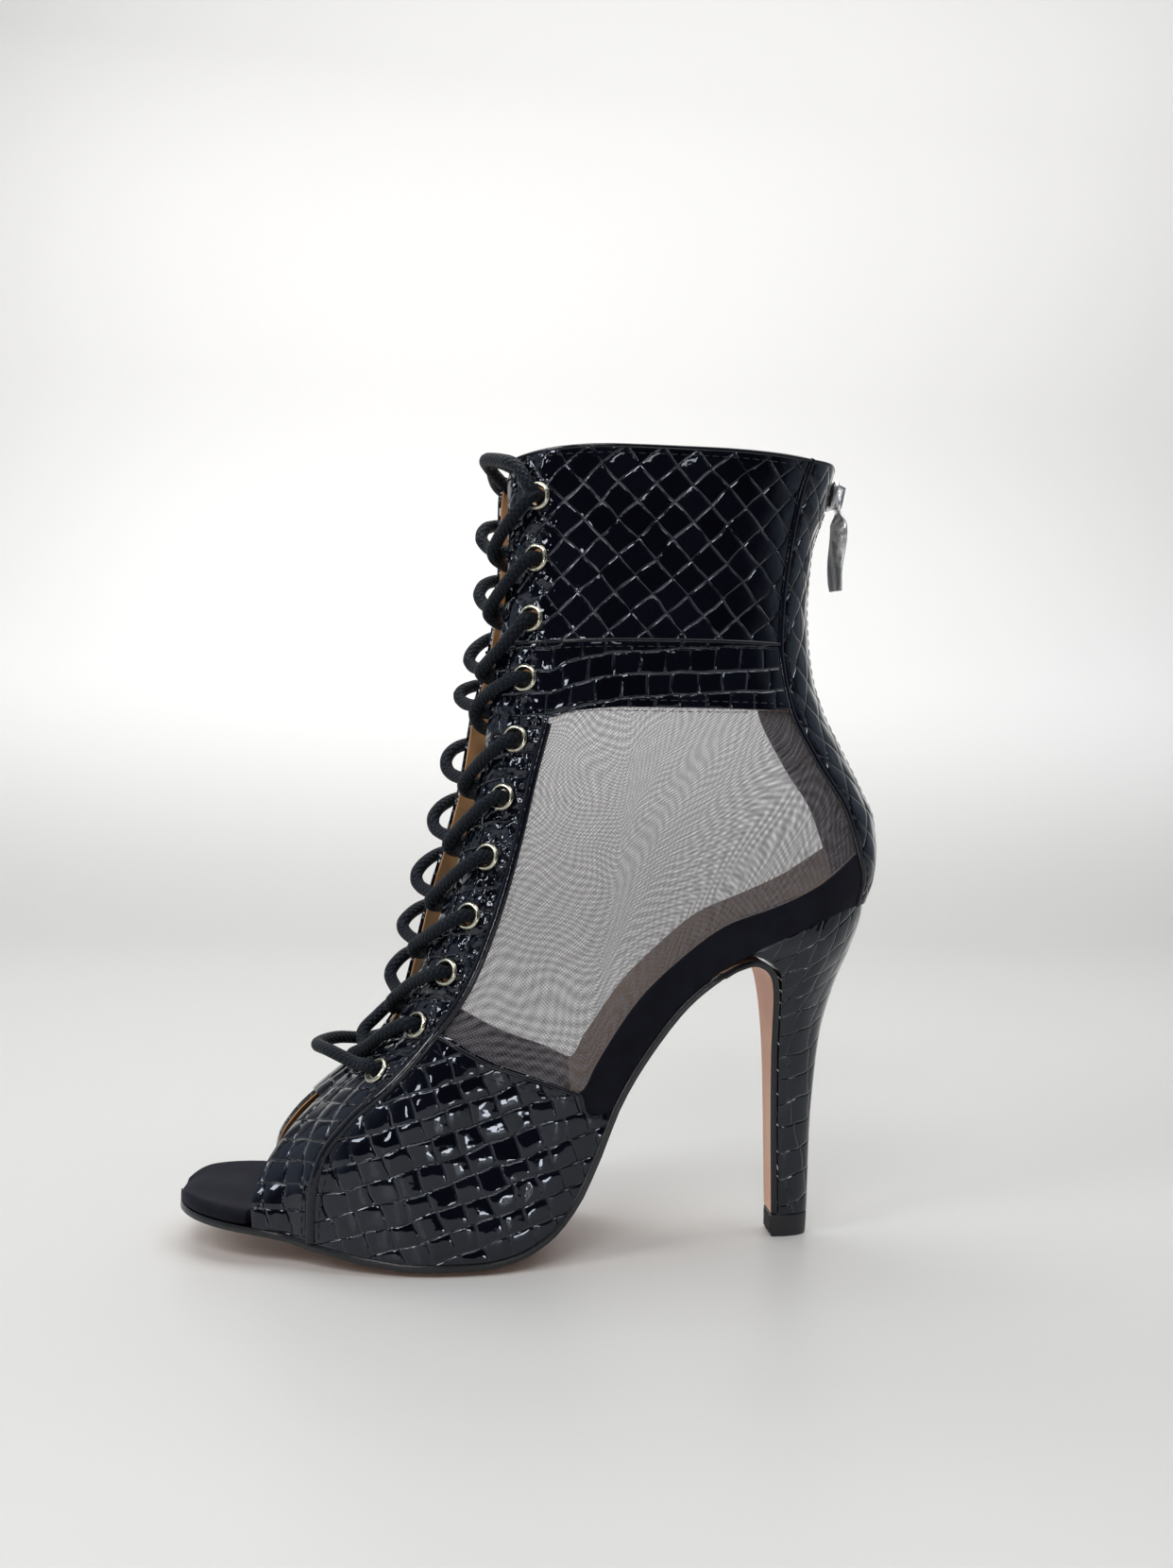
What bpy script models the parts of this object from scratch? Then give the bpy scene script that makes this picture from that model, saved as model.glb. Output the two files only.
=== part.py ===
# A laced, open toed dance boot on a slim high heel: a left shoe, toe to -X, outer side to -Y.
# Sizes are in millimetres. "Along" runs from the toe tip to the back, "up" from the floor.
import math

import bmesh
import bpy
from mathutils import Vector

MM = 0.001

# Driving sizes
LENGTH = 216.0
GAP = 0.3
WALL = 1.6
MESH_WALL = 0.8
OUTSOLE = 2.0
INSOLE = 3.0
INSOLE_GAP = 0.45
INSOLE_INSET = 1.6
TOE_EDGE = 4.6
EDGE_RISE = 1.8
TOE_ROUND = 34.0
HEEL_ROUND = 34.0
SHAFT_ROUND = 46.0
INSTEP_ROUND = 33.0
UPPER_START = 26.0
TOP_PIECE = 7.0
EYELETS = 11
EYELET_BORE = 5.5
EYELET_SIDES = 8
EYELET_PLATE = 0.3
EYELET_FLANGE = 8.4
EYELET_HEIGHT = 0.9
EYELET_SEAT = 0.6
EYELET_PITCH = 18.1
FIRST_EYELET = 14.0
EYELET_SHARE = 0.55
LACE = 3.8
LACE_CLEAR = 0.62
ZIP_WIDTH = 6.4
ZIP_THICK = 1.0
ZIP_CHANNEL = 0.8
SLIDER_ROW = 3.92
SLIDER_WIDTH = 8.0
SLIDER_TALL = 9.0
SLIDER_THICK = 2.0
CROWN_BAR = 0.9
CROWN_WIDTH = 2.4
CROWN_RISE = 1.8
PULL_WIDTH = 6.6
PULL_LONG = 24.0
PULL_THICK = 1.1
PULL_EYE = 5.6

# The top of the outsole and of the heel: along, up
FOOT_LINE = [
    (0, 11.6), (11, 10.6), (25, 9.2), (43, 6.4), (60, 3.4), (74, 2.0), (92, 2.0), (102, 3.6),
    (111.5, 8.4), (119.6, 17.6), (125.5, 30), (131.5, 45.5), (136, 54), (144, 66), (152, 76.2),
    (158, 81.9), (169, 89.8), (181, 96), (194, 101.7), (201, 104.3), (207, 105.8), (212.6, 106.5),
]
# The sole seen from above: along, half width, shift to the outer side
OUTLINE = [
    (0, 27, -4.5), (34, 27.2, -2.4), (45, 30.4, -1.2), (60, 33.2, 0), (78, 34.8, 0.8),
    (95, 33, 1.4), (110, 28.4, 1.8), (125, 23, 1.6), (145, 20.8, 1), (165, 23, 0.4),
    (185, 26.2, 0), (213, 27, 0),
]
# The outsole where it leaves the foot line and runs down the front of the heel, on its upper
# face: along, up, half width
BREAST_LINE = [
    (163.3, 85.5, 22.8), (168.6, 88.3, 22), (174.1, 89.6, 20.5), (179.2, 87.7, 18),
    (182.6, 83, 15.4), (183.7, 77, 13), (184.3, 68, 9.6), (184.7, 55, 6.8), (185.2, 35, 5.6),
    (185.9, 7.6, 5.1),
]
# Rings of the heel: front along, front up, back along, back up, half width in front, widest
HEEL_RINGS = [
    (186.3, 7.3, 196.5, 7.3, 4.9, 5.3),
    (186.0, 22, 196.8, 22, 5.0, 5.5),
    (185.7, 36, 197.1, 36, 5.4, 6.1),
    (185.3, 50, 198.1, 50, 6.4, 7.4),
    (184.9, 62, 199.6, 64, 8.4, 9.8),
    (184.6, 71, 201.8, 74, 10.8, 13.2),
    (184.2, 77.5, 204.6, 83, 13.4, 17.2),
    (183.3, 84, 208.2, 92, 16.4, 21.2),
    (179.2, 88.9, 210.6, 98.5, 19, 24.2),
    (173.6, 91.0, 211.9, 103, 21, 26),
]
HEEL_TOP = (169.5, 212.4, 22.2, 26.8)

# Lines up the upper in the side view, each from the sole to the collar: row, along, up.
# Row 0 is the sole, 1 the top of the vamp and of the rand, 2 the foot of the band, 3 its top
# and 4 the collar.
THROAT = [
    (0.17, 25.4, 17.8), (0.33, 28, 26.5), (0.5, 34.5, 36.5), (0.67, 43.6, 46), (0.79, 52, 53.4),
    (0.9, 60.2, 61.5), (1, 67, 71), (1.2, 73.5, 87), (1.4, 79, 102.5), (1.6, 85, 122.5),
    (1.8, 90, 144), (2, 92.5, 163), (3, 95, 184), (3.5, 97.3, 210), (3.85, 96.8, 233),
    (4, 98.5, 241),
]
FRONT_SEAM = [
    (0.2, 43.4, 18.9), (0.4, 46, 31.5), (0.6, 54, 42.8), (0.8, 67, 54.8), (1, 79, 69),
    (1.2, 87.5, 82), (1.4, 95.3, 102), (1.6, 101, 123), (1.8, 105.6, 144), (2, 109.7, 161.6),
    (3, 111.5, 184.3), (4, 114.5, 242),
]
WAIST = [
    (0.5, 122.4, 38), (1, 121.5, 51), (1.5, 129, 108), (2, 134, 165.2), (3, 134, 185),
    (4, 137, 242.3),
]
STRIP_SEAM = [
    (0.5, 208, 114.5), (1, 206, 122.5), (1.3, 201.6, 135.4), (1.65, 192.4, 149.8),
    (2, 184, 165.5), (2.5, 181.5, 176), (3, 180.3, 185.5), (3.3, 180.8, 198), (3.6, 182.8, 215),
    (3.85, 186, 233), (4, 189, 242),
]
BACK = [
    (0.5, 215, 114), (1, 216, 122.5), (1.25, 215, 132.5), (1.5, 211, 141.5), (1.75, 204.5, 154),
    (2, 198.3, 166), (2.5, 194.8, 176.5), (3, 193.3, 185.5), (3.3, 192.5, 199),
    (3.6, 193.6, 216), (3.85, 198, 231), (4, 200.6, 243),
]
# Where each of those five lines meets the sole
FEET = [UPPER_START, 43.4, 123.5, 206.5, 212.4]
# Points of the rows between the lines: column, along, up
ROW_POINTS = {
    0: [],
    1: [(1.4, 96, 60), (1.8, 113, 54), (2.15, 126, 58.5), (2.3, 131.5, 67.5), (2.45, 139, 78),
        (2.6, 150, 89), (2.75, 164.2, 100.1), (2.88, 181, 107), (2.95, 194, 113.5)],
    2: [(1.3, 117.5, 163.8)],
    3: [],
    4: [],
}
# Half width of the throat opening and of the peep toe: row, outer side, inner side
THROAT_GAP = [
    (0.17, 0.94, 0.94), (0.33, 0.7, 0.7), (0.5, 0.46, 0.46), (0.67, 0.26, 0.24),
    (0.79, 0.26, 0.2), (0.9, 0.32, 0.2), (1, 0.36, 0.22), (1.5, 0.42, 0.26), (2, 0.42, 0.34),
    (3, 0.42, 0.36), (4, 0.42, 0.38),
]
# Half width of the ankle and shaft: up, half width
SHAFT_WIDTH = [(60, 27), (110, 28), (150, 27), (185, 27.4), (243, 30)]
# The last takes the shaft's width over this height above the foot, and from here backwards
SHAFT_EASE = 44.0
SHAFT_FROM = 55.0
SHAFT_RUN = 60.0
BRIDGE_ROWS = (0.67, 0.79)
BRIDGE_CROWN = 2.2

COLUMNS = [
    0, 0.28, 0.55, 0.8, 1, 1.04, 1.25, 1.5, 1.7, 1.85, 1.93, 2, 2.07, 2.15, 2.3, 2.45, 2.6,
    2.78, 2.9, 2.965, 3, 3.3, 3.55, 3.72, 3.835, 3.86, 3.93, 4,
]
ROWS = [
    0, 0.14, 0.3, 0.45, 0.57, 0.67, 0.79, 0.9, 1, 1.035, 1.2, 1.4, 1.6, 1.8, 1.965, 2, 2.5, 3,
    3.5, 3.85, 4,
]
ZIP_FROM = 1.1
ZIP_START = 1.22
ZIP_END = 3.985
# The insole narrows over this length, just before the upper begins
NOTCH = 1.2
# Stations of the sole that the outsole and the insole share, up to the arch. From there on
# they stand under the columns of the upper.
SOLE_RUNS = [
    0.5, 1.5, 4, 8, 14, 20, UPPER_START - 2.2 * NOTCH, UPPER_START - 1.2 * NOTCH, 34, 43, 52, 60,
    67, 74, 83, 92,
]
ARCH_FROM = 1.7
ARCH_TO = 2.45
SEAT_RUNS = [172, 180, 188, 194, 200, 204, 207, 209.3]
SOLE_SHARES = (-1, -0.72, -0.45, 0.45, 0.72, 1)


def curve(points, column=1):
    """A smooth line through a table that never overshoots its points."""
    xs = [p[0] for p in points]
    ys = [p[column] for p in points]
    steps = [(ys[i + 1] - ys[i]) / (xs[i + 1] - xs[i]) for i in range(len(xs) - 1)]
    slopes = [steps[0]]
    for before, after in zip(steps, steps[1:]):
        slopes.append(0.0 if before * after <= 0 else 2 * before * after / (before + after))
    slopes.append(steps[-1])

    def value(x):
        x = min(max(x, xs[0]), xs[-1])
        i = max(k for k in range(len(xs) - 1) if xs[k] <= x)
        wide = xs[i + 1] - xs[i]
        t = (x - xs[i]) / wide
        lower = ys[i] * (1 + 2 * t) * (1 - t) ** 2 + wide * slopes[i] * t * (1 - t) ** 2
        upper = ys[i + 1] * t * t * (3 - 2 * t) + wide * slopes[i + 1] * t * t * (t - 1)
        return lower + upper

    return value


def ease(x):
    x = min(max(x, 0.0), 1.0)
    return x * x * (3 - 2 * x)


def mix(a, b, share):
    return a + (b - a) * share


def oval(share, power=2.2):
    return (1 - min(abs(share), 1.0) ** power) ** (1 / power)


foot_up = curve(FOOT_LINE)
half_width = curve(OUTLINE)
side_shift = curve(OUTLINE, 2)
shaft_width = curve(SHAFT_WIDTH)


def foot_normal(along):
    step = 0.5
    rise = foot_up(along + step) - foot_up(along - step)
    run = 2 * step
    size = math.hypot(rise, run)
    return -rise / size, run / size


def lifted(along, distance):
    """A point this far from the foot line, square to it."""
    across, up = foot_normal(along)
    return along + across * distance, foot_up(along) + up * distance


def width_at(along, side):
    """Half width of the last on one side, without the rounding of toe and heel."""
    return half_width(along) - side * side_shift(along)


def outline(along, side):
    """Half width of the sole on one side: side is -1 for the outer side and 1 for the inner."""
    half = half_width(along)
    if along < TOE_ROUND:
        half *= oval((TOE_ROUND - along) / TOE_ROUND, 2.3)
    back = FEET[4]
    if along > back - HEEL_ROUND:
        half *= oval((along - back + HEEL_ROUND) / HEEL_ROUND)
    return half - side * side_shift(along) * (1 - ease((along - back + HEEL_ROUND) / HEEL_ROUND))


def edge_rise(along, share):
    """The forefoot curves up a little towards its edges."""
    return EDGE_RISE * (1 - ease((along - 95) / 40)) * max(0.0, (abs(share) - 0.45) / 0.55) ** 2


Y_SHIFT = (max(outline(a, -1) for a in range(60, 100)) - max(outline(a, 1) for a in range(60, 100))) / 2


def place(along, across, up):
    """A point of the boot in metres, from its place along, across and up."""
    return Vector(((along - LENGTH / 2) * MM, (across + Y_SHIFT) * MM, up * MM))


def sole_row(along):
    start, up = lifted(along, GAP)
    return start, up + edge_rise(along, 1)


LINES = []
for foot, line in zip(FEET, (THROAT, FRONT_SEAM, WAIST, STRIP_SEAM, BACK)):
    table = [(0.0, *sole_row(foot)), *line]
    LINES.append((curve(table), curve(table, 2)))


def row_curve(row):
    knots = [(float(c), LINES[c][0](row), LINES[c][1](row)) for c in range(5)]
    table = sorted(knots + ROW_POINTS[row])
    return curve(table), curve(table, 2)


ROW_CURVES = [row_curve(row) for row in range(5)]
foot_along = curve([(float(i), foot) for i, foot in enumerate(FEET)])
SOLE_RUNS += [foot_along(column) for column in COLUMNS if ARCH_FROM <= column <= ARCH_TO]


def on_row(row, column):
    if row == 0:
        return sole_row(foot_along(column))
    along, up = ROW_CURVES[row]
    return along(column), up(column)


def on_line(line, row):
    along, up = LINES[line]
    return along(row), up(row)


def side_point(column, row):
    """A point of the upper in the side view, blended from the lines and rows around it."""
    c0 = min(int(column), 3)
    r0 = min(int(row), 3)
    c = column - c0
    if c0 == 3:
        c = 1 - (1 - c) ** 2
    r = row - r0
    low = on_row(r0, c0 + c)
    high = on_row(r0 + 1, c0 + c)
    left = on_line(c0, row)
    right = on_line(c0 + 1, row)
    corners = [on_line(c0, r0), on_line(c0 + 1, r0), on_line(c0, r0 + 1), on_line(c0 + 1, r0 + 1)]
    point = []
    for k in range(2):
        ruled = mix(low[k], high[k], r) + mix(left[k], right[k], c)
        ruled -= mix(mix(corners[0][k], corners[1][k], c), mix(corners[2][k], corners[3][k], c), r)
        point.append(ruled)
    return point


gap_share = {-1: curve([(0.0, 1.0, 1.0), *THROAT_GAP]), 1: curve([(0.0, 1.0, 1.0), *THROAT_GAP], 2)}


def last_width(along, up, side):
    """Half width of the last at a place in the side view, before its edges round in."""
    sole = width_at(along, side)
    above = (up - foot_up(along)) * foot_normal(along)[1]
    share = ease(above / SHAFT_EASE) * ease((along - SHAFT_FROM) / SHAFT_RUN)
    return mix(sole, shaft_width(up), share)


def half_at(column, row, side):
    along, up = side_point(column, row)
    wide = last_width(along, up, side)
    edge = on_line(0, row)
    opening = gap_share[side](row)
    start = INSTEP_ROUND * (1 - math.sqrt(1 - opening * opening))
    depth = start + math.hypot(along - edge[0], up - edge[1])
    if depth < INSTEP_ROUND:
        wide *= math.sqrt(1 - (1 - depth / INSTEP_ROUND) ** 2)
    if row < 1 and along < TOE_ROUND:
        wide = mix(wide * oval((TOE_ROUND - along) / TOE_ROUND, 2.3), wide, ease(row / 0.5))
    round_in = mix(HEEL_ROUND, SHAFT_ROUND, ease(row / 2))
    back = on_line(4, row)[0]
    rest = back - along
    if column > 3:
        rest = (back - on_line(3, row)[0]) * (4 - column) ** 2
    return wide * oval(max(1 - rest / round_in, 0))


def upper_point(column, row, side):
    along, up = side_point(column, row)
    return place(along, side * half_at(column, row, side), up)


def upper_normal(column, row, side):
    """The direction out of the upper at a place on it."""
    step = 0.02
    c0, c1 = max(column - step, 0), min(column + step, 4)
    r0, r1 = max(row - step, 0), min(row + step, 4)
    along = upper_point(c1, row, side) - upper_point(c0, row, side)
    up = upper_point(column, r1, side) - upper_point(column, r0, side)
    return (along.cross(up) * -side).normalized()


def material(name, colour, roughness, metallic=0.0):
    made = bpy.data.materials.new(name)
    made.use_nodes = True
    shader = made.node_tree.nodes["Principled BSDF"]
    shader.inputs["Base Color"].default_value = (*colour, 1)
    shader.inputs["Roughness"].default_value = roughness
    shader.inputs["Metallic"].default_value = metallic
    return made


def collection(name, shown=True):
    made = bpy.data.collections.new(name)
    made.hide_render = not shown
    bpy.context.scene.collection.children.link(made)
    return made


def add(name, mesh, finish, holder):
    obj = bpy.data.objects.new(name, mesh)
    if finish:
        mesh.materials.clear()
        mesh.materials.append(finish)
    holder.objects.link(obj)
    return obj


def mesh_of(name, points, faces):
    mesh = bpy.data.meshes.new(name)
    mesh.from_pydata([tuple(p) for p in points], [], faces)
    mesh.update()
    shape = bmesh.new()
    shape.from_mesh(mesh)
    bmesh.ops.recalc_face_normals(shape, faces=shape.faces)
    if shape.calc_volume(signed=True) < 0:
        bmesh.ops.reverse_faces(shape, faces=shape.faces)
    shape.to_mesh(mesh)
    shape.free()
    mesh.shade_smooth()
    mesh.set_sharp_from_angle(angle=math.radians(35))
    return mesh


def closed_rings(rings):
    """Points and faces of a solid lofted through rings of the same count, with both ends capped."""
    count = len(rings[0])
    points = [p for ring in rings for p in ring]
    faces = [tuple(range(count)), tuple(range(len(points) - 1, len(points) - 1 - count, -1))]
    for i in range(len(rings) - 1):
        for j in range(count):
            k = (j + 1) % count
            faces.append((i * count + k, i * count + j, (i + 1) * count + j, (i + 1) * count + k))
    return points, faces


def slab_rings(stations):
    """Points and faces of a bent plate. A station holds the points of its lower and upper face."""
    return closed_rings([lower + upper[::-1] for lower, upper in stations])


def upper_shell():
    """The outer and inner faces of the upper, joined at every open edge."""
    seats = [(c, -1) for c in COLUMNS] + [(c, 1) for c in COLUMNS[-2::-1]]
    outer, inner, faces = [], [], []

    def skin(point, normal, recess):
        outer.append(point - normal * recess * MM)
        inner.append(point - normal * WALL * MM)
        return len(outer) - 1

    grid = []
    for row in ROWS:
        line = []
        for column, side in seats:
            normal = upper_normal(column, row, side)
            if column == 4:
                normal.y = 0
                normal.normalize()
            recess = 0.0
            if 1.01 < column < 2.99 and 1.01 < row < 1.99:
                recess = WALL - MESH_WALL
            if column > 3.85 and row > ZIP_FROM:
                recess = ZIP_CHANNEL
            if row == 0:
                normal = along_sole(column, normal)
            line.append(skin(upper_point(column, row, side), normal, recess))
        grid.append(line)
    for low, high in zip(grid, grid[1:]):
        for j in range(len(seats) - 1):
            faces.append((low[j], low[j + 1], high[j + 1], high[j]))
    bridge = []
    for i, row in enumerate(ROWS):
        if BRIDGE_ROWS[0] <= row <= BRIDGE_ROWS[1]:
            bridge.append([grid[i][-1], *bridge_row(row, skin), grid[i][0]])
    for low, high in zip(bridge, bridge[1:]):
        for j in range(len(low) - 1):
            faces.append((low[j], low[j + 1], high[j + 1], high[j]))
    return join_skins(outer, inner, faces)


def along_sole(column, normal):
    """The same direction laid flat on the sole, so that the wall ends on it squarely."""
    across, up = foot_normal(foot_along(column))
    square = Vector((across, 0, up))
    return (normal - square * normal.dot(square)).normalized()


def bridge_row(row, skin):
    """The points that carry one row of the upper across the front, from inner to outer side."""
    start = upper_point(0, row, 1)
    end = upper_point(0, row, -1)
    edge = on_line(0, row)
    behind = side_point(0.3, row)
    reach = math.hypot(edge[0] - behind[0], edge[1] - behind[1])
    forward = Vector(((edge[0] - behind[0]) / reach, 0, (edge[1] - behind[1]) / reach))
    forward = (forward + Vector((-0.5, 0, 0.6))).normalized()
    made = []
    for share in (0.2, 0.4, 0.6, 0.8):
        crown = 4 * share * (1 - share) * BRIDGE_CROWN * MM
        lean = Vector((0, (0.5 - share) * 0.8, 0))
        normal = (forward + lean).normalized()
        made.append(skin(start.lerp(end, share) + forward * crown, normal, 0.0))
    return made


def join_skins(outer, inner, faces):
    count = len(outer)
    points = outer + inner
    solid = list(faces) + [tuple(i + count for i in reversed(face)) for face in faces]
    edges = {}
    for face in faces:
        for a, b in zip(face, face[1:] + face[:1]):
            edges[(a, b)] = True
    for a, b in edges:
        if (b, a) not in edges:
            solid.append((b, a, a + count, b + count))
    return points, solid


def eyelet_rows():
    """The rows on which the eyelets sit, one pitch apart along their line."""
    steps = 800
    points = [upper_point(EYELET_SHARE, 4 - 3.6 * i / steps, -1) for i in range(steps + 1)]
    wanted = [FIRST_EYELET + i * EYELET_PITCH for i in range(EYELETS)]
    found, run = [], 0.0
    for i in range(steps):
        run += (points[i + 1] - points[i]).length / MM
        if len(found) < EYELETS and run >= wanted[len(found)]:
            found.append(4 - 3.6 * (i + 1) / steps)
    return found


def turned(name, profile, steps, finish, holder):
    """A ring turned about its own Z axis from a closed profile of radius and height."""
    mesh = bpy.data.meshes.new(name)
    points = [(radius * MM, 0, height * MM) for radius, height in profile]
    edges = [(i, (i + 1) % len(points)) for i in range(len(points))]
    mesh.from_pydata(points, edges, [])
    obj = add(name, mesh, finish, holder)
    screw = obj.modifiers.new("Turn", "SCREW")
    screw.steps = steps
    screw.render_steps = steps
    screw.use_merge_vertices = True
    screw.merge_threshold = 0.00001
    return obj


def stand_on(obj, point, normal):
    obj.location = point
    obj.rotation_mode = "QUATERNION"
    obj.rotation_quaternion = normal.to_track_quat("Z", "Y")


def tube(name, points, finish, holder):
    """A lace run as a mesh, from points joined by a smooth curve."""
    data = bpy.data.curves.new(name, "CURVE")
    data.dimensions = "3D"
    data.bevel_depth = LACE / 2 * MM
    data.bevel_resolution = 1
    data.use_fill_caps = True
    spline = data.splines.new("POLY")
    fine = smooth_path(points, 2)
    spline.points.add(len(fine) - 1)
    for point, place_of in zip(spline.points, fine):
        point.co = (*place_of, 1)
    guide = bpy.data.objects.new(name + "_guide", data)
    holder.objects.link(guide)
    graph = bpy.context.evaluated_depsgraph_get()
    mesh = bpy.data.meshes.new_from_object(guide.evaluated_get(graph))
    bpy.data.objects.remove(guide)
    shape = bmesh.new()
    shape.from_mesh(mesh)
    bmesh.ops.remove_doubles(shape, verts=shape.verts, dist=0.00001)
    bmesh.ops.recalc_face_normals(shape, faces=shape.faces)
    shape.to_mesh(mesh)
    shape.free()
    return add(name, mesh, finish, holder)


def smooth_path(points, steps):
    ends = [points[0] * 2 - points[1], *points, points[-1] * 2 - points[-2]]
    made = []
    for a, b, c, d in zip(ends, ends[1:], ends[2:], ends[3:]):
        for i in range(steps):
            t = i / steps
            made.append(
                ((b * 2) + (c - a) * t + (a * 2 - b * 5 + c * 4 - d) * t * t
                 + (b * 3 - a - c * 3 + d) * t ** 3) * 0.5
            )
    made.append(points[-1])
    return made


def boolean(obj, operation, other=None, group=None):
    cut = obj.modifiers.new(operation.title(), "BOOLEAN")
    cut.operation = operation
    cut.solver = "EXACT"
    if group:
        cut.operand_type = "COLLECTION"
        cut.collection = group
    else:
        cut.object = other


def hide(obj):
    obj.hide_render = True
    obj.display_type = "WIRE"


def box(name, size, centre, finish, holder):
    shape = bmesh.new()
    bmesh.ops.create_cube(shape, size=1)
    for vert in shape.verts:
        vert.co = Vector(vert.co[k] * size[k] * MM + centre[k] * MM for k in range(3))
    mesh = bpy.data.meshes.new(name)
    shape.to_mesh(mesh)
    shape.free()
    return add(name, mesh, finish, holder)


def make_upper(parts, cutters, finish):
    points, faces = upper_shell()
    upper = add("upper", mesh_of("upper", points, faces), finish, parts)
    boolean(upper, "DIFFERENCE", group=cutters)
    return upper


def make_eyelets(parts, cutters, finish, rows):
    bore = EYELET_BORE / 2
    barrel = bore + EYELET_PLATE
    flange = EYELET_FLANGE / 2
    hole_radius = (barrel + GAP) / math.cos(math.pi / EYELET_SIDES) * MM
    profile = [
        (barrel, -WALL - GAP), (bore, -WALL - GAP), (bore, EYELET_SEAT + EYELET_HEIGHT),
        (flange, EYELET_SEAT), (barrel, EYELET_SEAT),
    ]
    for side, label in ((-1, "outer"), (1, "inner")):
        for number, row in enumerate(rows, 1):
            point = upper_point(EYELET_SHARE, row, side)
            normal = upper_normal(EYELET_SHARE, row, side)
            eyelet = turned(f"eyelet_{label}_{number:02d}", profile, EYELET_SIDES, finish, parts)
            stand_on(eyelet, point, normal)
            shape = bmesh.new()
            bmesh.ops.create_cone(
                shape, cap_ends=True, segments=EYELET_SIDES, radius1=hole_radius, radius2=hole_radius,
                depth=EYELET_FLANGE * MM,
            )
            mesh = bpy.data.meshes.new("hole")
            shape.to_mesh(mesh)
            shape.free()
            hole = add(f"hole_{label}_{number:02d}", mesh, None, cutters)
            hide(hole)
            stand_on(hole, point, normal)


def out_of(column, row, side, distance):
    return upper_point(column, row, side) + upper_normal(column, row, side) * distance * MM


def lace_run(rows, number, side):
    """One run of lace: out of an eyelet, over the throat and under the other side."""
    row, below = rows[number], rows[number + 1]
    step = below - row
    near_edge = row + 0.36 * step
    far_edge = row + 0.64 * step
    over = LACE / 2 + LACE_CLEAR
    under = -WALL - over
    return [
        out_of(EYELET_SHARE, row, side, over + EYELET_SEAT + EYELET_HEIGHT),
        out_of(0.25, row + 0.2 * step, side, over + 0.6),
        out_of(0, near_edge, side, over + 0.1),
        out_of(0, near_edge, side, under / 3).lerp(out_of(0, far_edge, -side, under / 3), 0.5),
        out_of(0, far_edge, -side, under - 0.9),
        out_of(EYELET_SHARE * 0.9, below, -side, under - GAP),
    ]


def make_laces(parts, cutters, finish, rows):
    for number in range(EYELETS - 1):
        run = tube(f"lace_crossing_{number + 1:02d}", lace_run(rows, number, -1), finish, parts)
        other = tube(f"lace_other_{number + 1:02d}", lace_run(rows, number, 1), finish, parts)
        parts.objects.unlink(other)
        cutters.objects.link(other)
        hide(other)
        boolean(run, "UNION", other=other)
    last = rows[-1]
    over = LACE / 2 + LACE_CLEAR
    middle = upper_point(0, last, -1).lerp(upper_point(0, last, 1), 0.5)
    tube("lace_bar", [
        out_of(EYELET_SHARE, last, -1, over + EYELET_SEAT + EYELET_HEIGHT),
        out_of(0.2, last, -1, over + 2.2),
        middle + Vector((-8 * MM, 0, 4 * MM)),
        out_of(0.2, last, 1, over + 2.2),
        out_of(EYELET_SHARE, last, 1, over + EYELET_SEAT + EYELET_HEIGHT),
    ], finish, parts)


def make_outsole(parts, finish):
    stations = []
    for along in SOLE_RUNS:
        widths = {side: outline(along, side) for side in (-1, 1)}
        across, up = foot_normal(along)
        top, low = [], []
        for share in SOLE_SHARES:
            y = share * widths[-1 if share < 0 else 1]
            z = foot_up(along) + edge_rise(along, share)
            top.append(place(along, y, z))
            low.append(place(along - across * OUTSOLE, y, z - up * OUTSOLE))
        stations.append((low, top))
    line = [(a, u) for a, u, _ in BREAST_LINE]
    for i, (along, up, half) in enumerate(BREAST_LINE):
        before = line[i - 1] if i else (158, foot_up(158))
        after = line[min(i + 1, len(line) - 1)]
        run = Vector((after[0] - before[0], after[1] - before[1])).normalized()
        top = [place(along, share * half, up) for share in SOLE_SHARES]
        low = [place(along + run.y * OUTSOLE, share * half, up - run.x * OUTSOLE)
               for share in SOLE_SHARES]
        stations.append((low, top))
    points, faces = slab_rings(stations)
    return add("outsole", mesh_of("outsole", points, faces), finish, parts)


def make_insole(parts, finish):
    stations = []
    thick = curve([(0, TOE_EDGE), (24, TOE_EDGE), (40, INSOLE), (213, INSOLE)])
    inset = WALL + GAP + INSOLE_INSET
    for along in SOLE_RUNS + SEAT_RUNS:
        pull = inset * ease((along - UPPER_START) / NOTCH + 2.2)
        room = {}
        for side in (-1, 1):
            room[side] = max(outline(min(along + pull * 0.9, FEET[4]), side) - pull, 1.5)
        across, up = foot_normal(along)
        top, low = [], []
        for share in SOLE_SHARES:
            side = -1 if share < 0 else 1
            z = foot_up(along) + edge_rise(along, share)
            soften = 0.8 if abs(share) == 1 else 0.0
            low.append(place(along + across * INSOLE_GAP, share * room[side], z + up * INSOLE_GAP))
            lift = INSOLE_GAP + thick(along) - soften
            top.append(place(along + across * lift, share * (room[side] - soften * 0.4), z + up * lift))
        stations.append((low, top))
    points, faces = slab_rings(stations)
    return add("insole", mesh_of("insole", points, faces), finish, parts)


def heel_ring(front, front_up, back, back_up, half_front, widest, steps=7):
    """One ring of the heel: a flat front and a round back."""
    ring = []
    span = back - front
    for side in (-1, 1):
        turn = []
        for i in range(steps + 1):
            angle = math.pi / 2 * i / steps
            share = math.sin(angle)
            half = widest * math.cos(angle) ** 0.9 if i < steps else 0
            grown = mix(half_front, widest, ease(share / 0.45)) / widest
            turn.append((front + span * share, side * half * min(grown, 1), mix(front_up, back_up, share)))
        ring += turn if side < 0 else turn[-2::-1]
    return [place(*p) for p in ring]


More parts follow.
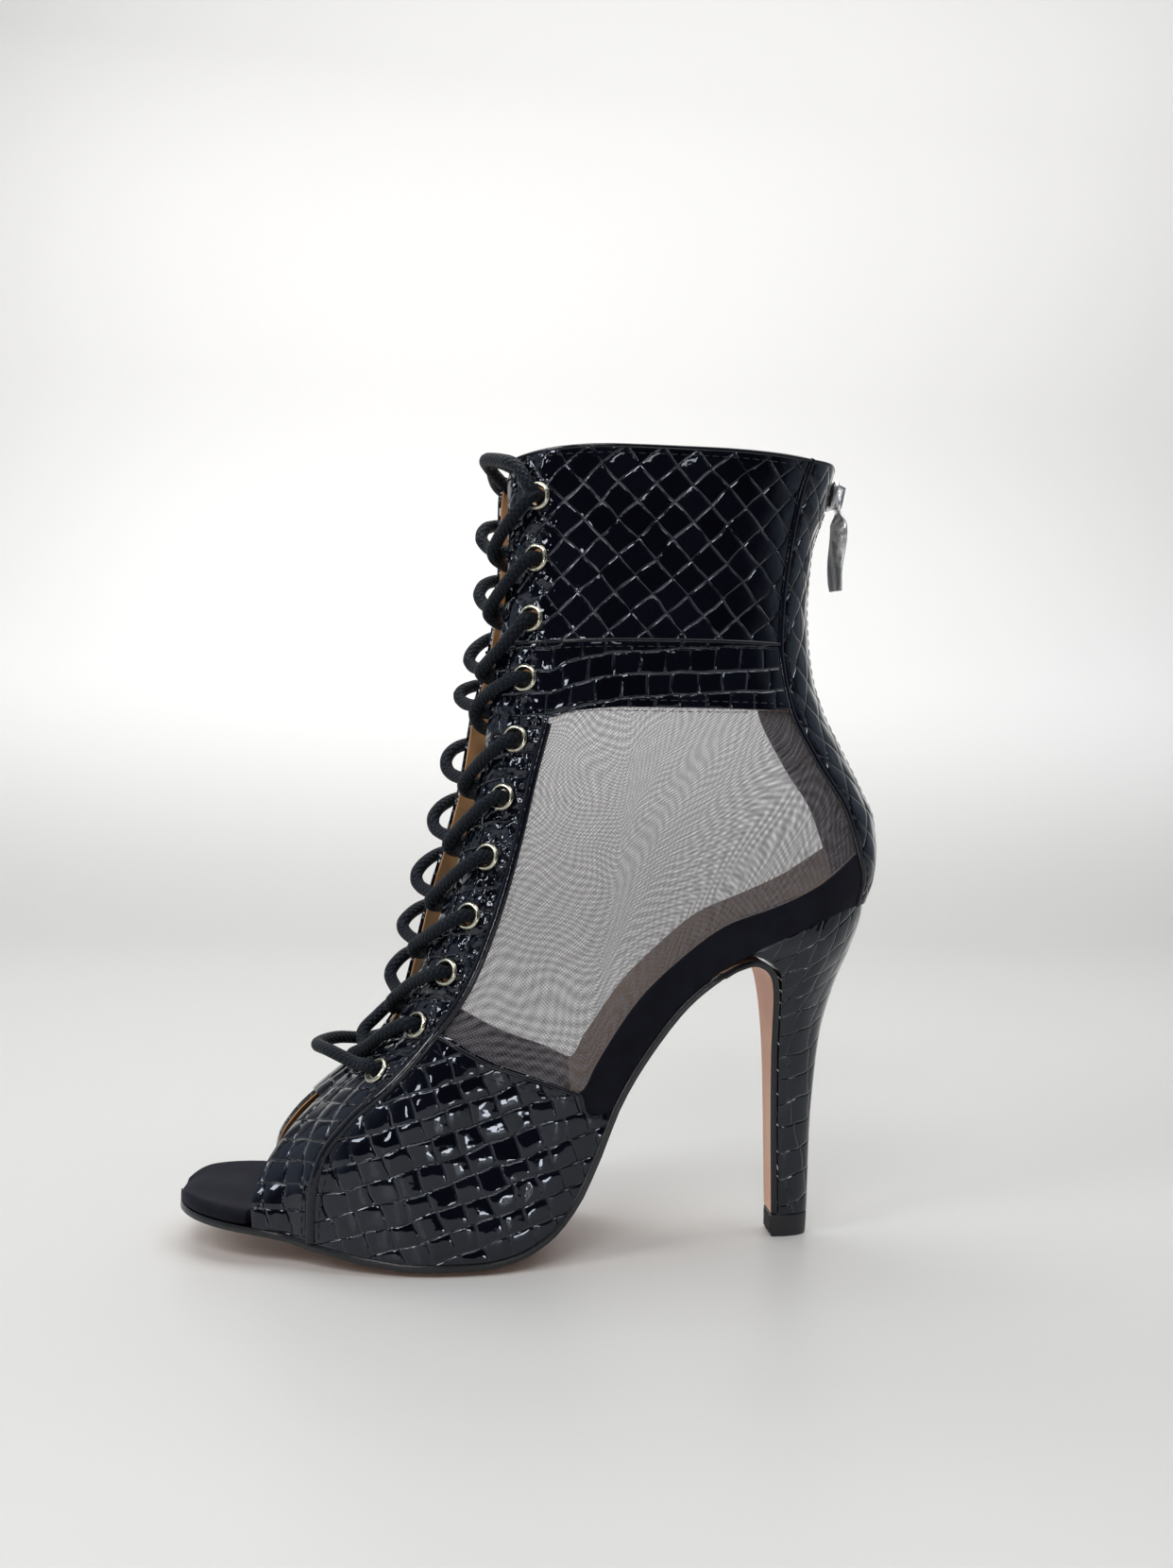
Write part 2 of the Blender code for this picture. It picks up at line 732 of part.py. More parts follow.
def make_heel(parts, finish):
    rings = [heel_ring(*row) for row in HEEL_RINGS]
    front, back, half_front, widest = HEEL_TOP
    top = heel_ring(front, 0, back, 0, half_front, widest)
    for point in top:
        along = point.x / MM + LENGTH / 2
        point.z = foot_up(along) * MM
    rings.append(top)
    points, faces = closed_rings(rings)
    return add("heel", mesh_of("heel", points, faces), finish, parts)


def make_top_piece(parts, finish):
    front, _, back, _, half_front, widest = HEEL_RINGS[0]
    start = BREAST_LINE[-1][0] - OUTSOLE
    rings = [
        heel_ring(start, up, back - draw, up, half_front + 0.2, widest + 0.1)
        for up, draw in ((0, 0.6), (TOP_PIECE, 0))
    ]
    points, faces = closed_rings(rings)
    return add("top_piece", mesh_of("top_piece", points, faces), finish, parts)


def back_frame(row):
    """A point on the centre of the back, with the directions out, up and across there."""
    step = 0.03
    low = place(on_line(4, max(row - step, 0))[0], 0, on_line(4, max(row - step, 0))[1])
    high = place(on_line(4, min(row + step, 4))[0], 0, on_line(4, min(row + step, 4))[1])
    along, up = on_line(4, row)
    rise = (high - low).normalized()
    out = Vector((rise.z, 0, -rise.x))
    return place(along, 0, up), out, rise


def make_zip(parts, finish):
    stations = []
    across = Vector((0, MM, 0))
    for row in [ZIP_START] + [row for row in ROWS if ZIP_START < row < 4] + [ZIP_END]:
        point, out, _ = back_frame(row)
        base = GAP - ZIP_CHANNEL
        lower, upper = [], []
        for share in (-1, -0.35, 0.35, 1):
            fall = 0.15 if abs(share) == 1 else 0.0
            seat = point + across * share * ZIP_WIDTH / 2 + out * (base - fall) * MM
            lower.append(seat)
            upper.append(seat + out * (ZIP_THICK if abs(share) < 1 else 0.5) * MM)
        stations.append((lower, upper))
    points, faces = slab_rings(stations)
    return add("zip", mesh_of("zip", points, faces), finish, parts)


def make_slider(parts, finish):
    """The slider with its crown, and the point of the pull's axis."""
    row = SLIDER_ROW
    point, out, rise = back_frame(row)
    level = GAP - ZIP_CHANNEL + ZIP_THICK + GAP
    turn = Vector((0, 1, 0))

    def to_world(depth, across, height):
        return point + out * depth * MM + turn * across * MM + rise * height * MM

    half_tall = SLIDER_TALL / 2
    half_wide = SLIDER_WIDTH / 2
    rings = []
    edge = SLIDER_THICK * 0.3
    for depth, draw in (
        (level, edge), (level + edge, 0), (level + SLIDER_THICK - edge, 0),
        (level + SLIDER_THICK, edge),
    ):
        ring = []
        for b, c in ((-0.7, 1), (0.7, 1), (1, 0.55), (0.8, -1), (-0.8, -1), (-1, 0.55)):
            ring.append(to_world(depth, b * (half_wide - draw), c * (half_tall - draw)))
        rings.append(ring)
    points, faces = closed_rings(rings)
    slider = add("zip_slider", mesh_of("zip_slider", points, faces), finish, parts)
    top = level + SLIDER_THICK
    inner = [(-0.4, 3.4), (CROWN_RISE, 2.6), (CROWN_RISE, -2.6), (-0.4, -3.4)]
    outer = [(-0.4, 4.3), (CROWN_RISE + CROWN_BAR, 3.5), (CROWN_RISE + CROWN_BAR, -3.5), (-0.4, -4.3)]
    rings = []
    for side in (-1, 1):
        b = side * CROWN_WIDTH / 2
        rings.append([to_world(top + d, b, c) for d, c in outer + inner[::-1]])
    points, faces = closed_rings(rings)
    return slider, (points, faces), to_world(top + CROWN_RISE / 2, 0, 0)


def make_pull(parts, finish, axis):
    """The pull hangs straight down from its bar, which lies under the crown."""
    bar = PULL_THICK / 2
    half_eye = CROWN_WIDTH / 2 + GAP + 0.15
    half_wide = PULL_WIDTH / 2
    outline_points = [
        (-half_eye - 1.2, bar), (half_eye + 1.2, bar), (half_eye + 1.3, -PULL_EYE),
        (half_wide, -PULL_EYE - 3.5), (half_wide, -PULL_LONG + 2.5), (half_wide - 2, -PULL_LONG),
        (-half_wide + 2, -PULL_LONG), (-half_wide, -PULL_LONG + 2.5), (-half_wide, -PULL_EYE - 3.5),
        (-half_eye - 1.3, -PULL_EYE),
    ]
    rings = []
    for side in (-1, 1):
        rings.append([Vector((side * bar * MM, y * MM, z * MM)) for y, z in outline_points])
    points, faces = closed_rings(rings)
    pull = add("zip_pull", mesh_of("zip_pull", points, faces), finish, parts)
    pull.location = axis
    return pull, half_eye, bar


def main():
    for obj in list(bpy.data.objects):
        bpy.data.objects.remove(obj, do_unlink=True)
    parts = collection("dance_boot")
    cutters = collection("cutters", shown=False)
    holes = bpy.data.collections.new("eyelet_holes")
    cutters.children.link(holes)
    leather = material("patent leather", (0.006, 0.008, 0.016), 0.12)
    suede = material("black suede", (0.012, 0.012, 0.016), 0.95)
    sole_leather = material("sole leather", (0.70, 0.42, 0.30), 0.5)
    rubber = material("heel rubber", (0.01, 0.01, 0.012), 0.6)
    brass = material("old brass", (0.42, 0.38, 0.26), 0.35, 1.0)
    steel = material("zip steel", (0.62, 0.62, 0.62), 0.2, 1.0)
    cord = material("waxed cord", (0.012, 0.016, 0.022), 0.6)
    tape = material("zip tape", (0.01, 0.01, 0.014), 0.7)
    rows = eyelet_rows()
    make_upper(parts, holes, leather)
    make_eyelets(parts, holes, brass, rows)
    make_laces(parts, cutters, cord, rows)
    make_outsole(parts, sole_leather)
    make_insole(parts, suede)
    make_heel(parts, leather)
    make_top_piece(parts, rubber)
    make_zip(parts, tape)
    slider, crown, axis = make_slider(parts, steel)
    crown_piece = add("slider_crown", mesh_of("slider_crown", *crown), None, cutters)
    hide(crown_piece)
    boolean(slider, "UNION", other=crown_piece)
    pull, half_eye, bar = make_pull(parts, steel, axis)
    eye = box("pull_eye", (6, 2 * half_eye, PULL_EYE - bar), (0, 0, -(PULL_EYE + bar) / 2), None, cutters)
    eye.location = axis
    hide(eye)
    boolean(pull, "DIFFERENCE", other=eye)


main()
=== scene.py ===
import math

import bmesh
import bpy
from mathutils import Matrix, Vector


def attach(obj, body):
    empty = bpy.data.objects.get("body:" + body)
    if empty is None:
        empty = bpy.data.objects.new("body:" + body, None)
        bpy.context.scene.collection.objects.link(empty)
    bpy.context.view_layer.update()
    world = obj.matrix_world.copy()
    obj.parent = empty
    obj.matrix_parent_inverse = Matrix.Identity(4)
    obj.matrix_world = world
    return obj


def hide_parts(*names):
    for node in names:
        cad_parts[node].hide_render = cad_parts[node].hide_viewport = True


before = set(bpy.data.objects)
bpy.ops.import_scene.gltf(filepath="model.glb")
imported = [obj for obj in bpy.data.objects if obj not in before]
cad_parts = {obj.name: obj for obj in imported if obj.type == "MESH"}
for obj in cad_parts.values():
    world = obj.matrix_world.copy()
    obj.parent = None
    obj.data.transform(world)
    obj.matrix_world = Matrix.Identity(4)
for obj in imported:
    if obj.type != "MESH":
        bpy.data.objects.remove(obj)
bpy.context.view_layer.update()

print("frame loaded:", len(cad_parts), "nodes")

mm = 0.001

# camera, fitted to the photo: level, a little left of the heel, rolled one degree

cameraSet = {
    "place": (-15.9, -398.0, 142.2),
    "yaw": 4.5,
    "roll": 1.0,
    "focalPixels": 1338.0,
    "frameHeight": 1660.0,
}


def makeCamera():
    data = bpy.data.cameras.new("photoCamera")
    data.sensor_fit = "VERTICAL"
    data.sensor_height = 36
    data.sensor_width = 27
    data.lens = 36 * cameraSet["focalPixels"] / cameraSet["frameHeight"]
    data.clip_start = 0.01
    camera = bpy.data.objects.new("photoCamera", data)
    bpy.context.scene.collection.objects.link(camera)
    yaw = math.radians(cameraSet["yaw"])
    roll = math.radians(cameraSet["roll"])
    ahead = Vector((math.sin(yaw), math.cos(yaw), 0))
    level = Vector((math.cos(yaw), -math.sin(yaw), 0))
    up = Vector((0, 0, 1))
    right = level * math.cos(roll) + up * math.sin(roll)
    top = up * math.cos(roll) - level * math.sin(roll)
    turn = Matrix((right, top, -ahead)).transposed().to_4x4()
    camera.matrix_world = Matrix.Translation(Vector(cameraSet["place"]) * mm) @ turn
    bpy.context.scene.camera = camera


makeCamera()
print("camera set")

# form of the last
# the same tables that the solids were made from, in millimetres: along from the toe tip, up from the floor

sizes = {
    "length": 216.0, "yShift": 0.79632, "gap": 0.3, "wall": 1.6,
    "outsole": 2.0, "insole": 3.0, "toeEdge": 4.6, "insoleGap": 0.45, "insoleInset": 1.9,
    "edgeRise": 1.8, "toeRound": 34.0, "heelRound": 34.0, "shaftRound": 46.0,
    "instepRound": 33.0,
}

footLine = [
    (0, 11.6), (11, 10.6), (25, 9.2), (43, 6.4), (60, 3.4), (74, 2.0), (92, 2.0), (102, 3.6),
    (111.5, 8.4), (119.6, 17.6), (125.5, 30), (131.5, 45.5), (136, 54), (144, 66), (152, 76.2),
    (158, 81.9), (169, 89.8), (181, 96), (194, 101.7), (201, 104.3), (207, 105.8), (212.6, 106.5),
]
soleOutline = [
    (0, 27, -4.5), (34, 27.2, -2.4), (45, 30.4, -1.2), (60, 33.2, 0), (78, 34.8, 0.8),
    (95, 33, 1.4), (110, 28.4, 1.8), (125, 23, 1.6), (145, 20.8, 1), (165, 23, 0.4),
    (185, 26.2, 0), (213, 27, 0),
]
breastLine = [
    (163.3, 85.5, 22.8), (168.6, 88.3, 22), (174.1, 89.6, 20.5), (179.2, 87.7, 18),
    (182.6, 83, 15.4), (183.7, 77, 13), (184.3, 68, 9.6), (184.7, 55, 6.8), (185.2, 35, 5.6),
    (185.9, 7.6, 5.1),
]
# front along, front up, back along, back up, half width in front, widest
heelRings = [
    (186.3, 7.3, 196.5, 7.3, 4.9, 5.3),
    (186.0, 22, 196.8, 22, 5.0, 5.5),
    (185.7, 36, 197.1, 36, 5.4, 6.1),
    (185.3, 50, 198.1, 50, 6.4, 7.4),
    (184.9, 62, 199.6, 64, 8.4, 9.8),
    (184.6, 71, 201.8, 74, 10.8, 13.2),
    (184.2, 77.5, 204.6, 83, 13.4, 17.2),
    (183.3, 84, 208.2, 92, 16.4, 21.2),
    (179.2, 88.9, 210.6, 98.5, 19, 24.2),
    (173.6, 91.0, 211.9, 103, 21, 26),
]
heelTop = (169.5, 212.4, 22.2, 26.8)

# lines up the side of the boot, each from sole to collar: row, along, up
throat = [
    (0.17, 25.4, 17.8), (0.33, 28, 26.5), (0.5, 34.5, 36.5), (0.67, 43.6, 46), (0.79, 52, 53.4),
    (0.9, 60.2, 61.5), (1, 67, 71), (1.2, 73.5, 87), (1.4, 79, 102.5), (1.6, 85, 122.5),
    (1.8, 90, 144), (2, 92.5, 163), (3, 95, 184), (3.5, 97.3, 210), (3.85, 96.8, 233),
    (4, 98.5, 241),
]
frontSeam = [
    (0.2, 43.4, 18.9), (0.4, 46, 31.5), (0.6, 54, 42.8), (0.8, 67, 54.8), (1, 79, 69),
    (1.2, 87.5, 82), (1.4, 95.3, 102), (1.6, 101, 123), (1.8, 105.6, 144), (2, 109.7, 161.6),
    (3, 111.5, 184.3), (4, 114.5, 242),
]
waistLine = [
    (0.5, 122.4, 38), (1, 121.5, 51), (1.5, 129, 108), (2, 134, 165.2), (3, 134, 185),
    (4, 137, 242.3),
]
stripSeam = [
    (0.5, 208, 114.5), (1, 206, 122.5), (1.3, 201.6, 135.4), (1.65, 192.4, 149.8),
    (2, 184, 165.5), (2.5, 181.5, 176), (3, 180.3, 185.5), (3.3, 180.8, 198), (3.6, 182.8, 215),
    (3.85, 186, 233), (4, 189, 242),
]
backLine = [
    (0.5, 215, 114), (1, 216, 122.5), (1.25, 215, 132.5), (1.5, 211, 141.5), (1.75, 204.5, 154),
    (2, 198.3, 166), (2.5, 194.8, 176.5), (3, 193.3, 185.5), (3.3, 192.5, 199),
    (3.6, 193.6, 216), (3.85, 198, 231), (4, 200.6, 243),
]
feet = [26.0, 43.4, 123.5, 206.5, 212.4]
rowPoints = {
    0: [],
    1: [(1.4, 96, 60), (1.8, 113, 54), (2.15, 126, 58.5), (2.3, 131.5, 67.5), (2.45, 139, 78),
        (2.6, 150, 89), (2.75, 164.2, 100.1), (2.88, 181, 107), (2.95, 194, 113.5)],
    2: [(1.3, 117.5, 163.8)],
    3: [],
    4: [],
}
throatGap = [
    (0.0, 1.0, 1.0), (0.17, 0.94, 0.94), (0.33, 0.7, 0.7), (0.5, 0.46, 0.46), (0.67, 0.26, 0.24),
    (0.79, 0.26, 0.2), (0.9, 0.32, 0.2), (1, 0.36, 0.22), (1.5, 0.42, 0.26), (2, 0.42, 0.34),
    (3, 0.42, 0.36), (4, 0.42, 0.38),
]
shaftWidth = [(60, 27), (110, 28), (150, 27), (185, 27.4), (243, 30)]


def smoothLine(points, column=1):
    # a cubic through the table that never overshoots
    xs = [p[0] for p in points]
    ys = [p[column] for p in points]
    steps = [(ys[i + 1] - ys[i]) / (xs[i + 1] - xs[i]) for i in range(len(xs) - 1)]
    slopes = [steps[0]]
    for before, after in zip(steps, steps[1:]):
        slopes.append(0.0 if before * after <= 0 else 2 * before * after / (before + after))
    slopes.append(steps[-1])

    def value(x):
        x = min(max(x, xs[0]), xs[-1])
        i = 0
        while i < len(xs) - 2 and xs[i + 1] <= x:
            i += 1
        wide = xs[i + 1] - xs[i]
        t = (x - xs[i]) / wide
        low = ys[i] * (1 + 2 * t) * (1 - t) ** 2 + wide * slopes[i] * t * (1 - t) ** 2
        high = ys[i + 1] * t * t * (3 - 2 * t) + wide * slopes[i + 1] * t * t * (t - 1)
        return low + high

    return value


def ease(x):
    x = min(max(x, 0.0), 1.0)
    return x * x * (3 - 2 * x)


def mix(a, b, share):
    return a + (b - a) * share


def oval(share, power=2.2):
    return (1 - min(abs(share), 1.0) ** power) ** (1 / power)


footUp = smoothLine(footLine)
halfWidth = smoothLine(soleOutline)
sideShift = smoothLine(soleOutline, 2)
shaftHalf = smoothLine(shaftWidth)
gapShare = {-1: smoothLine(throatGap), 1: smoothLine(throatGap, 2)}


def footNormal(along):
    rise = footUp(along + 0.5) - footUp(along - 0.5)
    size = math.hypot(rise, 1)
    return -rise / size, 1 / size


def soleHalf(along, side):
    half = halfWidth(along)
    if along < sizes["toeRound"]:
        half *= oval((sizes["toeRound"] - along) / sizes["toeRound"], 2.3)
    start = feet[4] - sizes["heelRound"]
    if along > start:
        half *= oval((along - start) / sizes["heelRound"])
    return half - side * sideShift(along) * (1 - ease((along - start) / sizes["heelRound"]))


def edgeRise(along, share):
    return sizes["edgeRise"] * (1 - ease((along - 95) / 40)) * max(0.0, (abs(share) - 0.45) / 0.55) ** 2


def place(along, across, up):
    return Vector(((along - sizes["length"] / 2) * mm, (across + sizes["yShift"]) * mm, up * mm))


def soleRow(along):
    across, up = footNormal(along)
    return along + across * sizes["gap"], footUp(along) + up * sizes["gap"] + edgeRise(along, 1)


upLines = []
for foot, line in zip(feet, (throat, frontSeam, waistLine, stripSeam, backLine)):
    table = [(0.0, *soleRow(foot)), *line]
    upLines.append((smoothLine(table), smoothLine(table, 2)))


def rowLine(row):
    table = sorted([(float(c), upLines[c][0](row), upLines[c][1](row)) for c in range(5)] + rowPoints[row])
    return smoothLine(table), smoothLine(table, 2)


acrossLines = [rowLine(row) for row in range(5)]
footAlong = smoothLine([(float(i), foot) for i, foot in enumerate(feet)])


def onRow(row, column):
    if row == 0:
        return soleRow(footAlong(column))
    return acrossLines[row][0](column), acrossLines[row][1](column)


def onLine(line, row):
    return upLines[line][0](row), upLines[line][1](row)


def sidePoint(column, row):
    c0 = min(int(column), 3)
    r0 = min(int(row), 3)
    c = column - c0
    if c0 == 3:
        c = 1 - (1 - c) ** 2
    r = row - r0
    low, high = onRow(r0, c0 + c), onRow(r0 + 1, c0 + c)
    left, right = onLine(c0, row), onLine(c0 + 1, row)
    corners = [onLine(c0, r0), onLine(c0 + 1, r0), onLine(c0, r0 + 1), onLine(c0 + 1, r0 + 1)]
    made = []
    for k in range(2):
        ruled = mix(low[k], high[k], r) + mix(left[k], right[k], c)
        ruled -= mix(mix(corners[0][k], corners[1][k], c), mix(corners[2][k], corners[3][k], c), r)
        made.append(ruled)
    return made


def lastWidth(along, up, side):
    sole = halfWidth(along) - side * sideShift(along)
    above = (up - footUp(along)) * footNormal(along)[1]
    return mix(sole, shaftHalf(up), ease(above / 44) * ease((along - 55) / 60))


def halfAt(column, row, side):
    along, up = sidePoint(column, row)
    wide = lastWidth(along, up, side)
    edge = onLine(0, row)
    opening = gapShare[side](row)
    instep = sizes["instepRound"]
    depth = instep * (1 - math.sqrt(1 - opening * opening)) + math.hypot(along - edge[0], up - edge[1])
    if depth < instep:
        wide *= math.sqrt(1 - (1 - depth / instep) ** 2)
    if row < 1 and along < sizes["toeRound"]:
        wide = mix(wide * oval((sizes["toeRound"] - along) / sizes["toeRound"], 2.3), wide, ease(row / 0.5))
    roundIn = mix(sizes["heelRound"], sizes["shaftRound"], ease(row / 2))
    back = onLine(4, row)[0]
    rest = back - along
    if column > 3:
        rest = (back - onLine(3, row)[0]) * (4 - column) ** 2
    return wide * oval(max(1 - rest / roundIn, 0))


# the inner eyestay stands further forward than the outer one: row, mm
flareAt = smoothLine([
    (0, 0), (0.3, 1.5), (0.6, 2.0), (0.8, 1.8), (1, 2.4), (1.2, 4.2), (1.5, 6.6), (1.9, 6.4), (2.4, 4.8),
    (3, 3.6), (4, 2.6),
])
skinCache = {}


def skinPoint(column, row, side):
    key = (round(column, 5), round(row, 5), side)
    if key not in skinCache:
        along, up = sidePoint(column, row)
        half = halfAt(column, row, side)
        if side > 0 and column < 0.9:
            along -= flareAt(row) * (1 - column / 0.9) ** 2
        skinCache[key] = place(along, side * half, up)
    return skinCache[key]


def skinNormal(column, row, side):
    step = 0.02
    c0, c1 = max(column - step, 0), min(column + step, 4)
    r0, r1 = max(row - step, 0), min(row + step, 4)
    along = skinPoint(c1, row, side) - skinPoint(c0, row, side)
    up = skinPoint(column, r1, side) - skinPoint(column, r0, side)
    normal = along.cross(up) * -side
    if column > 3.99:
        normal.y = 0
    return normal.normalized()


def onSkin(column, row, side, lift=0.0):
    return skinPoint(column, row, side) + skinNormal(column, row, side) * lift * mm


print("last worked out")

# materials


class Nodes:
    # a short way to wire a material, or the world that is given as its owner
    def __init__(self, name, owner=None):
        self.material = owner or bpy.data.materials.new(name)
        self.material.use_nodes = True
        self.tree = self.material.node_tree
        self.shader = self.tree.nodes.get("Principled BSDF")

    def add(self, kind, **settings):
        node = self.tree.nodes.new(kind)
        for key, value in settings.items():
            setattr(node, key, value)
        return node

    def join(self, source, target):
        self.tree.links.new(source, target)

    def solid(self):
        return self.add("ShaderNodeTexCoord").outputs["Object"]

    def flat(self):
        return self.add("ShaderNodeUVMap", uv_map="UVMap").outputs["UV"]

    def split(self, vector):
        node = self.add("ShaderNodeSeparateXYZ")
        self.join(vector, node.inputs[0])
        return node.outputs

    def times(self, value, *others):
        for other in others:
            value = self.math("MULTIPLY", value, other)
        return value

    def plus(self, value, *others):
        for other in others:
            value = self.math("ADD", value, other)
        return value

    def math(self, operation, *values):
        node = self.add("ShaderNodeMath", operation=operation)
        for socket, value in zip(node.inputs, values):
            if isinstance(value, (int, float)):
                socket.default_value = value
            else:
                self.join(value, socket)
        return node.outputs[0]

    def smooth(self, value, low, high):
        node = self.add("ShaderNodeMapRange", interpolation_type="SMOOTHSTEP")
        self.join(value, node.inputs["Value"])
        node.inputs["From Min"].default_value = low
        node.inputs["From Max"].default_value = high
        return node.outputs["Result"]

    def blend(self, share, a, b):
        node = self.add("ShaderNodeMix", data_type="RGBA")
        self.join(share, node.inputs["Factor"])
        for socket, value in ((node.inputs["A"], a), (node.inputs["B"], b)):
            if isinstance(value, tuple):
                socket.default_value = (*value, 1)
            else:
                self.join(value, socket)
        return node.outputs["Result"]

    def spots(self, vector, scale, detail=2.0, rough=0.5):
        node = self.add("ShaderNodeTexNoise")
        self.join(vector, node.inputs["Vector"])
        node.inputs["Scale"].default_value = scale
        node.inputs["Detail"].default_value = detail
        node.inputs["Roughness"].default_value = rough
        return node.outputs

    def wander(self, vector, scale, detail, reach):
        # the place, pushed about by slow clouds
        push = self.add("ShaderNodeVectorMath", operation="MULTIPLY_ADD")
        self.join(self.spots(vector, scale, detail)["Color"], push.inputs[0])
        push.inputs[1].default_value = (*reach, 0)
        self.join(vector, push.inputs[2])
        return push.outputs[0]

    def mapped(self, vector, turn, scale):
        node = self.add("ShaderNodeMapping")
        self.join(vector, node.inputs["Vector"])
        node.inputs["Rotation"].default_value[2] = math.radians(turn)
        node.inputs["Scale"].default_value = scale
        return self.split(node.outputs["Vector"])

    def bump(self, height, distance, strength=1.0):
        node = self.add("ShaderNodeBump")
        node.inputs["Distance"].default_value = distance * mm
        node.inputs["Strength"].default_value = strength
        self.join(height, node.inputs["Height"])
        return node.outputs["Normal"]

    def set(self, **values):
        for key, value in values.items():
            socket = self.shader.inputs[key.replace("_", " ")]
            if isinstance(value, tuple):
                socket.default_value = (*value, 1) if len(value) == 3 else value
            elif isinstance(value, (int, float)):
                socket.default_value = value
            else:
                self.join(value, socket)


# tint colours the patent's reflections blue: a painted blue cast standing in for the cool light the patent
# reflects
patentSet = {
    "colour": (0.002, 0.0022, 0.0042), "tileSpread": 1.9, "roughness": 0.11, "tint": (0.7, 0.81, 1.0),
    "bite": (0.35, 0.85), "lumps": 0.16,
}


def patentTiles(name, tile, turn, wobble, dome, cut, groove, brick=0.0, lean=0.5, crinkle=0.0,
                crinkleFrom=(15, 8), crinkleAxis="X"):
    # pressed patent leather: over and under tiles on a mm map, with thin grooves between them
    nodes = Nodes(name)
    uv = nodes.flat()
    pushed = nodes.wander(uv, 0.09, 1.5, (wobble * tile[0] * 4, wobble * tile[1] * 4))
    grid = nodes.mapped(pushed, turn, (1 / tile[0], 1 / tile[1], 1))
    row = nodes.math("FLOOR", grid["Y"])
    x = nodes.math("MULTIPLY_ADD", row, brick, grid["X"])
    column = nodes.math("FLOOR", x)
    offX = nodes.math("SUBTRACT", nodes.math("FRACT", x), 0.5)
    offY = nodes.math("SUBTRACT", nodes.math("FRACT", grid["Y"]), 0.5)
    a = nodes.times(nodes.math("ABSOLUTE", offX), 2)
    b = nodes.times(nodes.math("ABSOLUTE", offY), 2)
    parity = nodes.math("FLOORED_MODULO", nodes.plus(row, column), 2)
    other = nodes.math("SUBTRACT", 1, parity)
    run = nodes.plus(nodes.times(a, other), nodes.times(b, parity))
    side = nodes.plus(nodes.times(b, other), nodes.times(a, parity))
    pair = nodes.add("ShaderNodeCombineXYZ")
    nodes.join(row, pair.inputs[0])
    nodes.join(column, pair.inputs[1])
    each = nodes.add("ShaderNodeTexWhiteNoise", noise_dimensions="2D")
    nodes.join(pair.outputs[0], each.inputs["Vector"])
    chance = nodes.split(each.outputs["Color"])
    # heights in mm: each tile arches over its neighbours and leans a little its own way
    arch = nodes.times(nodes.math("POWER", run, 2.4), -dome)
    crown = nodes.times(nodes.math("POWER", side, 5), -dome * 0.5)
    leans = [nodes.times(nodes.math("SUBTRACT", chance[axis], 0.5), lean, off)
             for axis, off in (("X", offX), ("Y", offY))]
    height = nodes.plus(arch, crown, *leans)
    # the press bites deeper in some places than in others
    edge = nodes.smooth(nodes.math("SUBTRACT", 1, nodes.math("MAXIMUM", a, b)), 0, groove)
    shallow, more = patentSet["bite"]
    bite = nodes.smooth(nodes.spots(uv, 0.17, 2.0)["Fac"], 0.36, 0.62)
    bite = nodes.math("MULTIPLY_ADD", bite, cut * more, cut * shallow)
    height = nodes.math("MULTIPLY_ADD", nodes.math("SUBTRACT", edge, 1), bite, height)
    height = nodes.math("MULTIPLY_ADD", nodes.spots(uv, 0.26, 1.5, 0.4)["Fac"], patentSet["lumps"], height)
    if crinkle:
        # the leather puckers where the lace pulls on it
        mask = nodes.smooth(nodes.split(uv)[crinkleAxis], *crinkleFrom)
        pucker = nodes.add("ShaderNodeTexVoronoi", feature="SMOOTH_F1")
        nodes.join(pushed, pucker.inputs["Vector"])
        pucker.inputs["Scale"].default_value = 0.19
        pucker.inputs["Smoothness"].default_value = 0.5
        folds = nodes.plus(pucker.outputs["Distance"], nodes.spots(uv, 0.3, 1.0)["Fac"])
        height = nodes.math("MULTIPLY_ADD", nodes.times(folds, crinkle), mask, height)
    normal = nodes.bump(height, 1.0)
    rough = nodes.math("MULTIPLY_ADD", edge, -0.05, patentSet["roughness"])
    pale = tuple(v * patentSet["tileSpread"] for v in patentSet["colour"])
    nodes.set(Base_Color=nodes.blend(each.outputs["Value"], patentSet["colour"], pale), Roughness=rough,
              Normal=normal, Coat_Normal=normal, Coat_Weight=0.45, Coat_Roughness=0.03,
              Specular_IOR_Level=0.36, Specular_Tint=patentSet["tint"])
    return nodes.material


def grained(name, colour, grain, relief, patch=None, dark=None, **looks):
    # fine relief all over, and slow patches of a second colour where the finish has one
    nodes = Nodes(name)
    place3 = nodes.solid()
    if patch:
        share = nodes.smooth(nodes.spots(place3, *patch[:3])["Fac"], *patch[3:])
        colour = nodes.blend(share, colour, dark)
    normal = nodes.bump(nodes.spots(place3, *grain)["Fac"], *relief)
    if "Coat_Weight" in looks:
        looks["Coat_Normal"] = normal
    nodes.set(Base_Color=colour, Normal=normal, **looks)
    return nodes.material


def lining(name, colour, dark):
    nodes = Nodes(name)
    place3 = nodes.solid()
    grain = nodes.add("ShaderNodeTexVoronoi", feature="DISTANCE_TO_EDGE")
    nodes.join(place3, grain.inputs["Vector"])
    grain.inputs["Scale"].default_value = 1300
    tone = nodes.blend(nodes.smooth(nodes.spots(place3, 60, 3.0)["Fac"], 0.3, 0.75), colour, dark)
    nodes.set(Base_Color=tone, Roughness=0.55, Normal=nodes.bump(grain.outputs["Distance"], 0.1, 0.6),
              Specular_IOR_Level=0.3)
    return nodes.material


